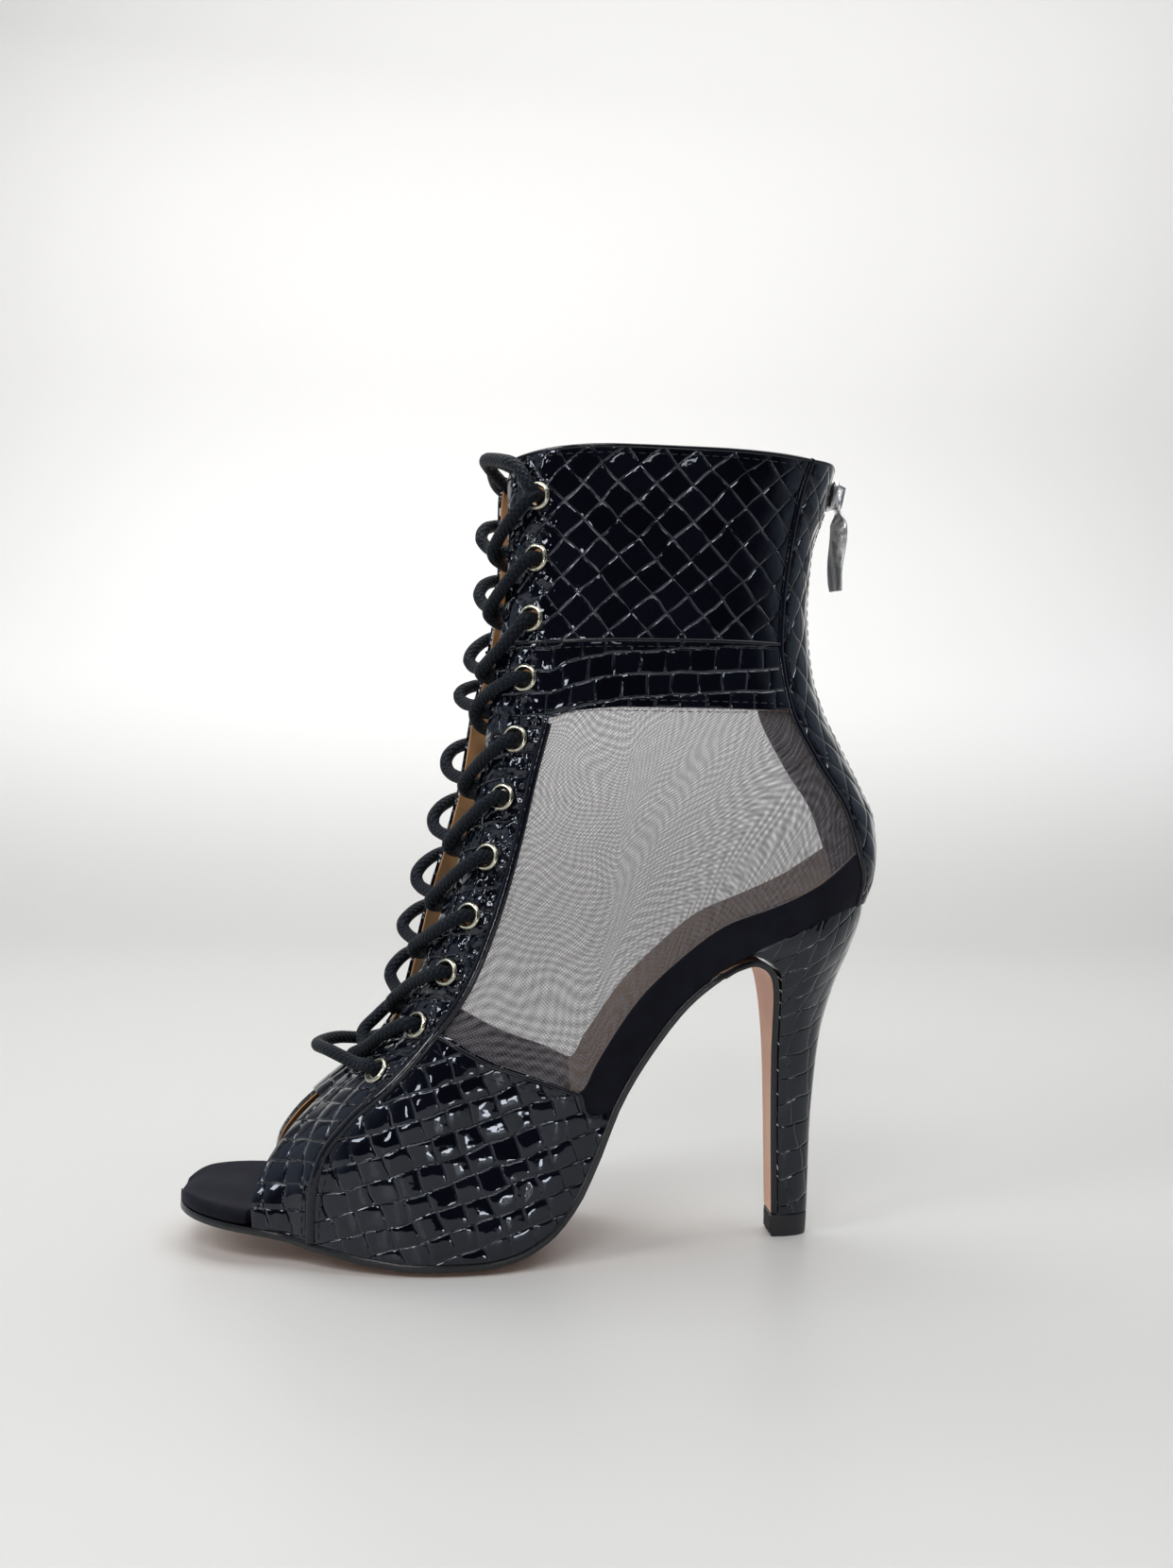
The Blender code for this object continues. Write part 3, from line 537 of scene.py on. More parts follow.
def meshCloth(name, cover, thread, moire, pitch=0.8):
    # a fine net: two sets of threads, and the bands that two nets one behind the other show
    nodes = Nodes(name)
    uv = nodes.flat()
    grid = nodes.mapped(uv, 28, (1 / pitch, 1 / pitch, 1))
    threads = nodes.plus(*[nodes.math("SINE", nodes.times(grid[axis], 2 * math.pi)) for axis in ("X", "Y")])
    solid = nodes.math("MULTIPLY_ADD", threads, thread, cover)
    field = nodes.split(nodes.wander(uv, 0.03, 1.0, (30, 30)))
    x = nodes.math("SUBTRACT", field["X"], 50)
    y = nodes.math("SUBTRACT", field["Y"], -12)
    # rings about a low point, and a saddle that crosses them higher up
    rings = nodes.plus(nodes.times(x, x, 0.0032), nodes.times(y, y, 0.0034))
    saddle = nodes.plus(nodes.times(x, y, 0.004), nodes.times(x, 0.11))
    for phase, share in ((rings, moire[0]), (saddle, moire[1])):
        wave = nodes.math("SINE", nodes.times(phase, 2 * math.pi))
        solid = nodes.math("MULTIPLY_ADD", wave, share, solid)
    mixer = nodes.add("ShaderNodeMixShader")
    nodes.join(solid, mixer.inputs[0])
    nodes.join(nodes.add("ShaderNodeBsdfTransparent").outputs[0], mixer.inputs[1])
    nodes.join(nodes.shader.outputs[0], mixer.inputs[2])
    nodes.join(mixer.outputs[0], nodes.tree.nodes["Material Output"].inputs["Surface"])
    nodes.set(Base_Color=(0.16, 0.15, 0.165), Roughness=0.6, Sheen_Weight=0.1, Specular_IOR_Level=0.2)
    return nodes.material


def metal(name, colour, roughness, marks):
    nodes = Nodes(name)
    dull = nodes.smooth(nodes.spots(nodes.solid(), 700, 3.0)["Fac"], 0.35, 0.75)
    tone = nodes.blend(nodes.times(dull, marks), colour, tuple(v * 0.35 for v in colour))
    nodes.set(Base_Color=tone, Metallic=1.0, Roughness=nodes.math("MULTIPLY_ADD", dull, 0.2, roughness))
    return nodes.material


def braid(name):
    # waxed braided cord: the map runs along and round the cord in mm
    nodes = Nodes(name)
    uv = nodes.flat()
    parts = nodes.split(uv)
    heights = []
    for lean in (1, -1):
        skew = nodes.math("MULTIPLY_ADD", parts["Y"], 0.5 * lean, nodes.times(parts["X"], 0.5))
        wave = nodes.math("SINE", nodes.times(skew, 2 * math.pi))
        heights.append(nodes.math("POWER", nodes.math("MULTIPLY_ADD", wave, 0.5, 0.5), 0.7))
    height = nodes.times(*heights)
    full = nodes.math("MULTIPLY_ADD", nodes.spots(uv, 5.0, 3.0, 0.7)["Fac"], 0.4, height)
    # the cord is painted darker in the grooves between its strands and paler on their crests: painted shade
    # in the grooves
    tone = nodes.blend(height, (0.0015, 0.0025, 0.0045), (0.006, 0.009, 0.0145))
    nodes.set(Base_Color=tone, Roughness=0.55, Normal=nodes.bump(full, 0.4), Specular_IOR_Level=0.17,
              Specular_Tint=(0.74, 0.86, 1.0), Sheen_Weight=0.02)
    return nodes.material


def clothTape(name):
    nodes = Nodes(name)
    wave = nodes.add("ShaderNodeTexWave")
    nodes.join(nodes.flat(), wave.inputs["Vector"])
    wave.inputs["Scale"].default_value = 0.6
    nodes.set(Base_Color=(0.006, 0.006, 0.009), Roughness=0.8, Normal=nodes.bump(wave.outputs["Fac"], 0.1))
    return nodes.material


thinCoat = {"Coat_Weight": 0.3, "Coat_Roughness": 0.05, "Specular_IOR_Level": 0.25}
finish = {
    "collar": patentTiles("collar diamonds", (7.7, 7.7), turn=47, wobble=0.08, dome=0.2, cut=0.22,
                          groove=0.12, crinkle=1.5, crinkleFrom=(23, 12)),
    "band": patentTiles("band tiles", (7.6, 6.9), turn=-5, wobble=0.1, dome=0.24, cut=0.26, groove=0.15,
                        brick=0.35, crinkle=1.4, crinkleFrom=(22, 12)),
    "vamp": patentTiles("vamp tiles", (7.3, 6.7), turn=-18, brick=0.14, wobble=0.12, dome=0.34, cut=0.3,
                        groove=0.15, lean=0.8),
    "front": patentTiles("front tiles", (6.9, 6.9), turn=-8, brick=0.1, wobble=0.1, dome=0.28, cut=0.28,
                         groove=0.16, crinkle=1.3, crinkleFrom=(46, 60), crinkleAxis="Y"),
    "strip": patentTiles("strip diamonds", (6.4, 8.6), turn=38, wobble=0.08, dome=0.26, cut=0.28, lean=0.9,
                         groove=0.15),
    "heel": patentTiles("heel tiles", (8.2, 8.2), turn=-14, brick=0.12, wobble=0.14, dome=0.12, cut=0.24,
                        groove=0.12, lean=0.5),
    "plain": grained("plain patent", (0.004, 0.0045, 0.009), (420, 3.0), (0.12,), Roughness=0.16, **thinCoat),
    "thread": grained("sewing thread", (0.004, 0.0045, 0.007), (420, 3.0), (0.05,), Roughness=0.45,
                       **thinCoat),
    "suede": grained("black suede", (0.003, 0.0032, 0.0058), (2600, 4.0, 0.7), (0.12,),
                     (90, 3.0, 0.6, 0.3, 0.75), (0.0063, 0.00672, 0.01218), Roughness=0.95,
                     Sheen_Weight=0.25, Sheen_Roughness=0.45, Sheen_Tint=(0.22, 0.22, 0.27),
                     Specular_IOR_Level=0.15),
    "tan": lining("tan lining", (0.60, 0.34, 0.16), (0.44, 0.23, 0.10)),
    # the rand and brown linings are the same tan leather painted darker as painted shade; the brown one is
    # the deepest, for the linings behind the vamp and back strips
    "rand": lining("rand lining", (0.34, 0.24, 0.17), (0.26, 0.18, 0.13)),
    "deepShadeLining": lining("tan lining in painted deep shade", (0.060, 0.042, 0.034), (0.045, 0.030, 0.024)),
    "sole": grained("sole leather", (0.72, 0.44, 0.31), (900, 4.0, 0.6), (0.06, 0.5),
                    (35, 3.0, 0.5, 0.3, 0.7), (0.62, 0.35, 0.24), Roughness=0.5),
    "edge": grained("painted edge", (0.006, 0.0065, 0.009), (800, 3.0), (0.06,), Roughness=0.3),
    "rubber": grained("heel rubber", (0.008, 0.0085, 0.011), (1500, 3.0), (0.05,), Roughness=0.38),
    "mesh": meshCloth("mesh cloth", 0.46, 0.13, (0.15, 0.09)),
    "farMesh": meshCloth("far mesh cloth", 0.4, 0.1, (0.0, 0.0), 0.83),
    "brass": metal("old silver brass", (0.60, 0.57, 0.46), 0.2, 0.6),
    "steel": metal("zip steel", (0.80, 0.80, 0.80), 0.3, 0.08),
    "cord": braid("waxed cord"),
    "tape": clothTape("zip tape"),
}
print("materials made:", len(finish))

# helpers for shapes


def pick(obj):
    bpy.ops.object.select_all(action="DESELECT")
    obj.select_set(True)
    bpy.context.view_layer.objects.active = obj


def applyModifier(obj, kind, name, **settings):
    modifier = obj.modifiers.new(name, kind)
    for key, value in settings.items():
        setattr(modifier, key, value)
    pick(obj)
    bpy.ops.object.modifier_apply(modifier=name)


def softEdges(obj, width=0.22, angle=50):
    applyModifier(obj, "BEVEL", "edges", width=width * mm, segments=2, limit_method="ANGLE",
                  angle_limit=math.radians(angle))


def copyOf(source, name, matrix):
    # a copy with its own mesh, moved by the matrix while its object stays at the origin
    copy = bpy.data.objects.new(name, source.data.copy())
    bpy.context.scene.collection.objects.link(copy)
    copy.data.transform(matrix)
    return copy


def axesMatrix(point, x, y, z):
    return Matrix.Translation(point) @ Matrix((x, y, z)).transposed().to_4x4()


def shapedGrid(name, across, up, shape, mapAt=None, roll=False, caps=False):
    # a grid whose points are moved onto a form: shape takes shares along and up of 0 to 1
    bpy.ops.object.select_all(action="DESELECT")
    bpy.ops.mesh.primitive_grid_add(x_subdivisions=across, y_subdivisions=up, size=1)
    obj = bpy.context.object
    obj.name = obj.data.name = name
    mesh = obj.data
    spots, points, along, high = {}, {}, {}, {}
    for vertex in mesh.vertices:
        i = round((vertex.co.x + 0.5) * across)
        j = round((vertex.co.y + 0.5) * up)
        spots[vertex.index] = (i, j)
        vertex.co = points[(i, j)] = Vector(shape(i / across, j / up))
    # mm along and up the form, for its map
    for j in range(up + 1):
        for i in range(across + 1):
            here = points[(i, j)]
            along[(i, j)] = along[(i - 1, j)] + (here - points[(i - 1, j)]).length / mm if i else 0.0
            high[(i, j)] = high[(i, j - 1)] + (here - points[(i, j - 1)]).length / mm if j else 0.0
    layer = mesh.uv_layers.active.data
    for polygon in mesh.polygons:
        for k in polygon.loop_indices:
            i, j = spots[mesh.loops[k].vertex_index]
            layer[k].uv = mapAt(i, j, along, high) if mapAt else (along[(i, j)], high[(i, j)])
    if roll or caps:
        bpy.ops.object.mode_set(mode="EDIT")
        bpy.ops.mesh.select_all(action="SELECT")
        bpy.ops.mesh.remove_doubles(threshold=0.00001)
        if caps:
            bpy.ops.mesh.select_all(action="DESELECT")
            bpy.ops.mesh.select_non_manifold(extend=False)
            bpy.ops.mesh.fill_holes(sides=0)
        bpy.ops.mesh.select_all(action="SELECT")
        bpy.ops.mesh.normals_make_consistent(inside=False)
        bpy.ops.object.mode_set(mode="OBJECT")
    return obj


def loft(name, rings, mapAt=None, ringsFirst=False):
    # closed rings joined one to the next, with a cap at each end
    count, around = len(rings) - 1, len(rings[0])

    def shape(s, t):
        run, turn = (t, s) if ringsFirst else (s, t)
        return rings[round(run * count)][round(turn * around) % around]

    size = (around, count) if ringsFirst else (count, around)
    return shapedGrid(name, *size, shape, mapAt, roll=True, caps=True)


def smoothShade(obj, angle=40):
    pick(obj)
    bpy.ops.object.shade_smooth_by_angle(angle=math.radians(angle))


def finishPiece(obj, key, body="boot", replaced=()):
    if key:
        obj.data.materials.clear()
        obj.data.materials.append(finish[key])
    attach(obj, body)
    if replaced:
        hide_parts(*replaced)
    return obj


def joinObjects(name, objects):
    bpy.ops.object.select_all(action="DESELECT")
    for obj in objects:
        obj.select_set(True)
    bpy.context.view_layer.objects.active = objects[0]
    if len(objects) > 1:
        bpy.ops.object.join()
    obj = bpy.context.view_layer.objects.active
    obj.name = obj.data.name = name
    return obj


def weld(obj, distance):
    pick(obj)
    bpy.ops.object.mode_set(mode="EDIT")
    bpy.ops.mesh.select_all(action="SELECT")
    bpy.ops.mesh.remove_doubles(threshold=distance * mm)
    bpy.ops.object.mode_set(mode="OBJECT")


def panelGrid(name, side, columns, rows, steps, lift, spot=None):
    def shape(s, t):
        column, row = spot(s, t) if spot else (mix(*columns, s), mix(*rows, t))
        return onSkin(column, row, side, lift)

    def fromSide(i, j, along, high):
        point = shape(i / steps[0], j / steps[1])
        return point.x / mm, point.z / mm

    obj = shapedGrid(name, steps[0], steps[1], shape, fromSide if spot else None)
    middle = onSkin(mix(*columns, 0.5), mix(*rows, 0.5), side)
    normal = skinNormal(mix(*columns, 0.5), mix(*rows, 0.5), side)
    nearest = min(obj.data.polygons, key=lambda p: (p.center - middle).length)
    if nearest.normal.dot(normal) < 0:
        obj.data.flip_normals()
    return obj


eyeletSet = {
    "count": 11, "first": 14.0, "pitch": 18.1, "share": 0.55, "bore": 5.5, "flange": 8.4,
    "seat": 0.45, "height": 1.0, "room": 0.35,
}


def eyeletRows():
    steps = 800
    points = [skinPoint(eyeletSet["share"], 4 - 3.6 * i / steps, -1) for i in range(steps + 1)]
    wanted = [eyeletSet["first"] + i * eyeletSet["pitch"] for i in range(eyeletSet["count"])]
    found, run = [], 0.0
    for i in range(steps):
        run += (points[i + 1] - points[i]).length / mm
        if len(found) < len(wanted) and run >= wanted[len(found)]:
            found.append(4 - 3.6 * (i + 1) / steps)
    return found


rowsOfEyelets = eyeletRows()


def eyeletMatrix(row, side):
    normal = skinNormal(eyeletSet["share"], row, side)
    turn = normal.to_track_quat("Z", "Y").to_matrix().to_4x4()
    return Matrix.Translation(skinPoint(eyeletSet["share"], row, side)) @ turn


def holeCutter(side):
    made = []
    for row in rowsOfEyelets:
        bpy.ops.object.select_all(action="DESELECT")
        radius = eyeletSet["bore"] / 2 + eyeletSet["room"]
        bpy.ops.mesh.primitive_cylinder_add(vertices=20, radius=radius * mm, depth=9 * mm)
        pin = bpy.context.object
        pin.matrix_world = eyeletMatrix(row, side)
        made.append(pin)
    return joinObjects(f"holeCutter{side}", made)


def cutHoles(obj, cutter):
    applyModifier(obj, "BOOLEAN", "holes", operation="DIFFERENCE", object=cutter, solver="EXACT")


# upper

panelSet = {
    # name: columns, rows, steps, lift, thickness, finish, slot
    "vamp": ((1, 2), (0, 1), (56, 34), 0.30, 1.1, "vamp", "patent_leather"),
    "band": ((0, 3), (2, 3), (64, 12), 0.35, 1.1, "band", "patent_leather"),
    "collar": ((0, 3), (3, 4), (64, 30), 0.05, 1.1, "collar", "patent_leather"),
    "rand": ((2, 3), (0, 1), (56, 14), 0.0, 1.0, "suede", "black_suede"),
}
liningSet = {
    # name: columns, rows, steps, finish
    # the vamp and back strip linings are tan leather in painted deep shade, and the rand lining is tan
    # leather in painted shade
    "vampLining": ((1, 2), (0, 1), (30, 14), "deepShadeLining"),
    "shaftLining": ((0, 3), (2, 4), (36, 20), "tan"),
    "randLining": ((2, 3), (0, 1), (36, 8), "rand"),
    "frontLining": ((0, 1), (0, 2), (10, 60), "tan"),
    "stripLining": ((3, 3.87), (0, 4), (10, 60), "deepShadeLining"),
}
layerSet = {"liningLift": -1.15, "liningThick": 0.4, "netLift": -0.75}
sideNames = {-1: "Outer", 1: "Inner"}
wingEnd = 2.085

# the inner window reaches a little higher than the outer one
windowTop = {-1: 2.0, 1: 2.13}


def vampSpot(s, t):
    # the vamp's top edge runs on past the waist line, down to the sole
    column = mix(1, wingEnd, s)
    return column, t * (1 - 0.93 * max(0, (column - 2) / (wingEnd - 2)))


cutters = {side: holeCutter(side) for side in (-1, 1)}
replaced = ("upper",)
for side in (-1, 1):
    for name, (columns, rows, steps, lift, thick, key, slotName) in panelSet.items():
        if name == "band":
            rows = (windowTop[side], rows[1])
        spot = vampSpot if name == "vamp" else None
        panel = panelGrid(name + sideNames[side], side, columns, rows, steps, lift, spot)
        applyModifier(panel, "SOLIDIFY", "wall", thickness=thick * mm, offset=-1)
        if name in ("band", "collar"):
            cutHoles(panel, cutters[side])
        softEdges(panel)
        smoothShade(panel)
        finishPiece(panel, key, replaced=replaced)
        replaced = ()
    for name, (columns, rows, steps, key) in liningSet.items():
        if name == "shaftLining":
            rows = (windowTop[side], rows[1])
        sheet = panelGrid(name + sideNames[side], side, columns, rows, steps, layerSet["liningLift"])
        applyModifier(sheet, "SOLIDIFY", "wall", thickness=layerSet["liningThick"] * mm, offset=-1)
        if name in ("shaftLining", "frontLining"):
            cutHoles(sheet, cutters[side])
        smoothShade(sheet)
        finishPiece(sheet, key)
    rows = (1, windowTop[side])
    net = panelGrid("mesh" + sideNames[side], side, (1, 3), rows, (60, 40), layerSet["netLift"])
    smoothShade(net)
    finishPiece(net, "mesh" if side < 0 else "farMesh")
print("side panels made")

# front panel and eyestays: one piece that joins across the toe between the two openings
frontSet = {"steps": (14, 100), "bridge": (0.66, 0.8), "crown": 2.2, "lift": 0.12, "thick": 1.15}


def bridgePoint(s, t):
    row = mix(*frontSet["bridge"], t)
    start, end = onSkin(0, row, -1, frontSet["lift"]), onSkin(0, row, 1, frontSet["lift"])
    edge, behind = onLine(0, row), sidePoint(0.3, row)
    reach = math.hypot(edge[0] - behind[0], edge[1] - behind[1])
    ahead = Vector(((edge[0] - behind[0]) / reach - 0.5, 0, (edge[1] - behind[1]) / reach + 0.6)).normalized()
    return start.lerp(end, s) + ahead * 4 * s * (1 - s) * frontSet["crown"] * mm


def joinedPanel(name, sheets, thick, key, cut):
    # sheets that meet edge to edge become one wall
    panel = joinObjects(name, sheets)
    weld(panel, 0.03)
    applyModifier(panel, "SOLIDIFY", "wall", thickness=thick * mm, offset=-1)
    for side in (-1, 1):
        if cut:
            cutHoles(panel, cutters[side])
    softEdges(panel)
    smoothShade(panel)
    finishPiece(panel, key)


fronts = []
for side in (-1, 1):
    rows, steps, lift = (0, windowTop[side]), frontSet["steps"], frontSet["lift"]
    fronts.append(panelGrid("front" + sideNames[side], side, (0, 1), rows, steps, lift))
bridge = shapedGrid("bridge", 12, 7, bridgePoint)
if sum(p.normal.x for p in bridge.data.polygons) > 0:
    bridge.data.flip_normals()
joinedPanel("frontPanel", fronts + [bridge], frontSet["thick"], "front", True)

# back strips, joined under the zip
strips = []
for side in (-1, 1):
    strips.append(panelGrid("strip" + sideNames[side], side, (3, 3.86), (0, 4), (14, 160), 0.2))
    strips.append(panelGrid("stripFoot" + sideNames[side], side, (3.86, 4), (0, 1.15), (4, 46), 0.2))
joinedPanel("backStrips", strips, 1.2, "strip", False)
for cutter in cutters.values():
    bpy.data.objects.remove(cutter)
print("front panel and back strips made")

# piping and stitches


def tubeAlong(name, points, radius, sides=8, closedEnds=True):
    # a round cord through the points, with a map in mm along and round it
    count = len(points) - 1
    frames = []
    side = None
    for i, point in enumerate(points):
        ahead = (points[min(i + 1, count)] - points[max(i - 1, 0)]).normalized()
        if side is None:
            side = ahead.orthogonal().normalized()
        side = (side - ahead * side.dot(ahead)).normalized()
        frames.append((point, side.copy(), ahead.cross(side)))

    def shape(s, t):
        point, one, two = frames[round(s * count)]
        angle = 2 * math.pi * t
        return point + (one * math.cos(angle) + two * math.sin(angle)) * radius * mm

    def around(i, j, along, high):
        return along[(i, 0)], 2 * math.pi * radius * j / sides

    return shapedGrid(name, count, sides, shape, around, roll=True, caps=closedEnds)


def ridgeAlong(name, path, side, lift, width, height, count):
    # a low raised cord laid along a path on the skin
    spine = [path(i / count) for i in range(count + 1)]
    spots = [onSkin(*place2, side, lift) for place2 in spine]

    def shape(s, t):
        i = round(s * count)
        normal = skinNormal(*spine[i], side)
        ahead = (spots[min(i + 1, count)] - spots[max(i - 1, 0)]).normalized()
        across = ahead.cross(normal).normalized()
        angle = 2 * math.pi * t
        high = math.sin(angle) * (height if math.sin(angle) > 0 else 0.5)
        return spots[i] + (across * math.cos(angle) * width / 2 + normal * high) * mm

    return shapedGrid(name, count, 10, shape, roll=True, caps=True)


pipingSet = {
    # name: path from share to column and row, lift, width, height, steps
    "frontPiping": (lambda s: (1.0, mix(0.0, 1.97, s)), 0.3, 3.0, 1.1, 130),
    "vampEdge": (lambda s: vampSpot(mix(0.03, 0.985, s), 0.985), 0.35, 1.3, 0.5, 80),
    "stripPiping": (lambda s: (3.0, mix(0.0, 4.0, s)), 0.2, 1.9, 0.75, 150),
    "bandEdge": (lambda s: (mix(0.0, 2.98, s), 3.0), 0.25, 1.2, 0.55, 90),
    "collarRim": (lambda s: (mix(0.02, 3.8, s), 3.99), -0.4, 1.5, 0.75, 120),
}
for name, (path, lift, width, height, count) in pipingSet.items():
    both = [ridgeAlong(name + sideNames[side], path, side, lift, width, height, count) for side in (-1, 1)]
    piping = joinObjects(name, both)
    smoothShade(piping, 60)
    finishPiece(piping, "plain")


stitchSet = {"long": 2.3, "gap": 0.8, "radius": 0.2}
seams = [
    # path from share to column and row, lift, steps along it
    (lambda s: (mix(0.08, 2.96, s), 3.955), 0.1, 200),
    (lambda s: (mix(0.08, 2.96, s), 2.93), 0.4, 200),
    (lambda s: (mix(0.08, 2.96, s), 2.07), 0.4, 200),
    (lambda s: vampSpot(mix(0.06, 0.95, s), 0.94), 0.4, 200),
    (lambda s: (1.07, mix(0.02, 0.95, s)), 0.4, 200),
    (lambda s: (0.12, mix(0.12, 3.97, s)), 0.18, 400),
    (lambda s: (0.9, mix(0.02, 1.96, s)), 0.17, 300),
    (lambda s: (3.07, mix(0.05, 3.97, s)), 0.25, 400),
    (lambda s: (3.8, mix(0.5, 3.97, s)), 0.25, 400),
]


def stitchSpots(path, side, lift, steps):
    # middle, way ahead and normal of each stitch along a seam
    spots = [path(i / steps) for i in range(steps + 1)]
    line = [(onSkin(*spot, side, lift), skinNormal(*spot, side)) for spot in spots]
    runs = [0.0]
    for (a, _), (b, _) in zip(line, line[1:]):
        runs.append(runs[-1] + (b - a).length / mm)
    pitch = stitchSet["long"] + stitchSet["gap"]
    made = []
    k = 0
    for n in range(int(runs[-1] / pitch)):
        middle = (n + 0.5) * pitch
        while runs[k + 1] < middle:
            k += 1
        (a, normal), (b, _) = line[k], line[k + 1]
        share = (middle - runs[k]) / (runs[k + 1] - runs[k])
        made.append((a.lerp(b, share), (b - a).normalized(), normal))
    return made


def layStitches(name, spots):
    # one stitch is modelled, and each further one is a copy turned to its seam
    half, radius = stitchSet["long"] / 2 * mm, stitchSet["radius"] * mm
    bpy.ops.object.select_all(action="DESELECT")
    bpy.ops.mesh.primitive_uv_sphere_add(segments=6, ring_count=4, radius=1)
    first = bpy.context.object
    first.data.transform(Matrix.Diagonal((radius, radius * 0.9, half, 1)))
    copies = []
    for point, ahead, normal in spots:
        across = ahead.cross(normal).normalized()
        copies.append(copyOf(first, "stitch", axesMatrix(point, across, normal, ahead)))
    bpy.data.objects.remove(first)
    obj = joinObjects(name, copies)
    bpy.ops.object.mode_set(mode="EDIT")
    bpy.ops.mesh.select_all(action="SELECT")
    bpy.ops.mesh.normals_make_consistent(inside=False)
    bpy.ops.object.mode_set(mode="OBJECT")
    smoothShade(obj, 80)
    return obj


stitchRows = []
for side in (-1, 1):
    for path, lift, steps in seams:
        stitchRows += stitchSpots(path, side, lift, steps)
finishPiece(layStitches("stitches", stitchRows), "thread")
print("piping and", len(stitchRows), "stitches made")

# sole and insole

soleSet = {
    "start": 0.4, "end": 163.0, "stations": 70, "shares": 12, "breastSteps": 54, "bulge": 0.22,
    "paintTo": 160, "paintToe": 12,
}
breast = [smoothLine([(float(i), row[k]) for i, row in enumerate(breastLine)]) for k in range(3)]


def outsoleRing(pointAt, normal):
    # over the top, round the edge, under and round the other edge
    top = [pointAt(-1 + 2 * k / soleSet["shares"]) for k in range(soleSet["shares"] + 1)]
    low = [point - normal * sizes["outsole"] * mm for point in top]
    edges = []
    for a, b, out in ((top[-1], low[-1], top[-1] - top[-2]), (low[0], top[0], top[0] - top[1])):
        edges.append([a.lerp(b, t) + out.normalized() * soleSet["bulge"] * mm for t in (0.3, 0.7)])
    return top + edges[0] + low[::-1] + edges[1]


def outsoleRings():
    rings = []
    for i in range(soleSet["stations"] + 1):
        along = soleSet["start"] + (soleSet["end"] - soleSet["start"]) * (i / soleSet["stations"]) ** 1.15
        across, up = footNormal(along)

        def underFoot(share):
            half = soleHalf(along, -1 if share < 0 else 1)
            return place(along, share * half, footUp(along) + edgeRise(along, share))

        rings.append(outsoleRing(underFoot, Vector((across, 0, up))))
    # then down the front of the heel
    for n in range(1, soleSet["breastSteps"] + 1):
        x = (len(breastLine) - 1) * n / soleSet["breastSteps"]
        run = Vector([line(x + 0.05) - line(x - 0.05) for line in breast[:2]]).normalized()

        def onBreast(share):
            return place(breast[0](x), share * breast[2](x), breast[1](x))

        rings.append(outsoleRing(onBreast, Vector((-run.y, 0, run.x))))
    return rings


outsole = loft("soleLeather", outsoleRings())
outsole.data.materials.clear()
outsole.data.materials.append(finish["sole"])
outsole.data.materials.append(finish["edge"])
for polygon in outsole.data.polygons:
    # the top, the edge all round and the toe's front are painted black
    along = polygon.center.x / mm + sizes["length"] / 2
    normal = polygon.normal
    onTop = normal.z > 0.2 and along < soleSet["paintTo"]
    if onTop or abs(normal.y) > 0.55 or (along < soleSet["paintToe"] and normal.x < -0.5):
        polygon.material_index = 1
smoothShade(outsole, 35)
finishPiece(outsole, None, replaced=("outsole",))

insoleSet = {
    # where the toe's edge shows, the board is full width; under the upper it draws in
    "toe": [0.3, 0.6, 1.1, 1.8, 2.8, 4, 5.4, 7, 9.5, 12, 16, 20, 23.4, 24.0, 24.6],
    "from": 27, "pitch": 3.5, "count": 52, "end": 209.0, "draw": 1.85, "toeRound": 6.0,
    # share across and share of the thickness: the well rounded edge, from below
    "edge": [(0.99, 0.1), (1.0, 0.3), (0.995, 0.52), (0.975, 0.72), (0.93, 0.88)],
}


def insoleRings():
    stations = [insoleSet["from"] + i * insoleSet["pitch"] for i in range(insoleSet["count"])]
    stations = insoleSet["toe"] + stations + [insoleSet["end"]]
    toeEdge, board = sizes["toeEdge"], sizes["insole"]
    thickAt = smoothLine([(0, toeEdge), (24, toeEdge), (40, board), (213, board)])
    profile = [(-0.96 + 1.92 * k / 8, 0.0) for k in range(9)] + insoleSet["edge"]
    for k in range(9):
        share = 0.86 - 1.72 * k / 8
        profile.append((share, 0.97 + 0.13 * (1 - (share / 0.86) ** 2)))
    profile += [(-share, lift) for share, lift in insoleSet["edge"][::-1]]
    rings = []
    for along in stations:
        pull = sizes["insoleInset"] * insoleSet["draw"] * ease((along - insoleSet["toe"][-1]) / 1.2 + 1.2)
        across, up = footNormal(along)
        toe = insoleSet["toeRound"]
        full = thickAt(along) * math.sqrt(1 - (1 - min(along, toe) / toe) ** 2 * 0.75)
        ring = []
        for share, lift in profile:
            room = max(soleHalf(min(along + pull * 0.9, feet[4]), -1 if share < 0 else 1) - pull, 1.2)
            z = footUp(along) + edgeRise(along, share)
            h = sizes["insoleGap"] + lift * full
            ring.append(place(along + across * h, share * room, z + up * h))
        rings.append(ring)
    return rings


insole = loft("insoleBoard", insoleRings())
smoothShade(insole, 50)
finishPiece(insole, "suede", replaced=("insole",))
print("sole and insole made")

# heel

heelSet = {"steps": 14, "rows": 60}
heelLines = [smoothLine([(float(i), ring[k]) for i, ring in enumerate(heelRings)]) for k in range(6)]


def heelRing(front, frontUp, back, backUp, halfFront, widest, steps):
    ring = []
    for side in (-1, 1):
        turn = []
        for i in range(steps + 1):
            angle = math.pi / 2 * i / steps
            share = math.sin(angle)
            half = widest * math.cos(angle) ** 0.9 if i < steps else 0
            grown = mix(halfFront, widest, ease(share / 0.45)) / widest
            across = side * half * min(grown, 1)
            turn.append((front + (back - front) * share, across, mix(frontUp, backUp, share)))
        ring += turn if side < 0 else turn[-2::-1]
    return [place(*p) for p in ring]


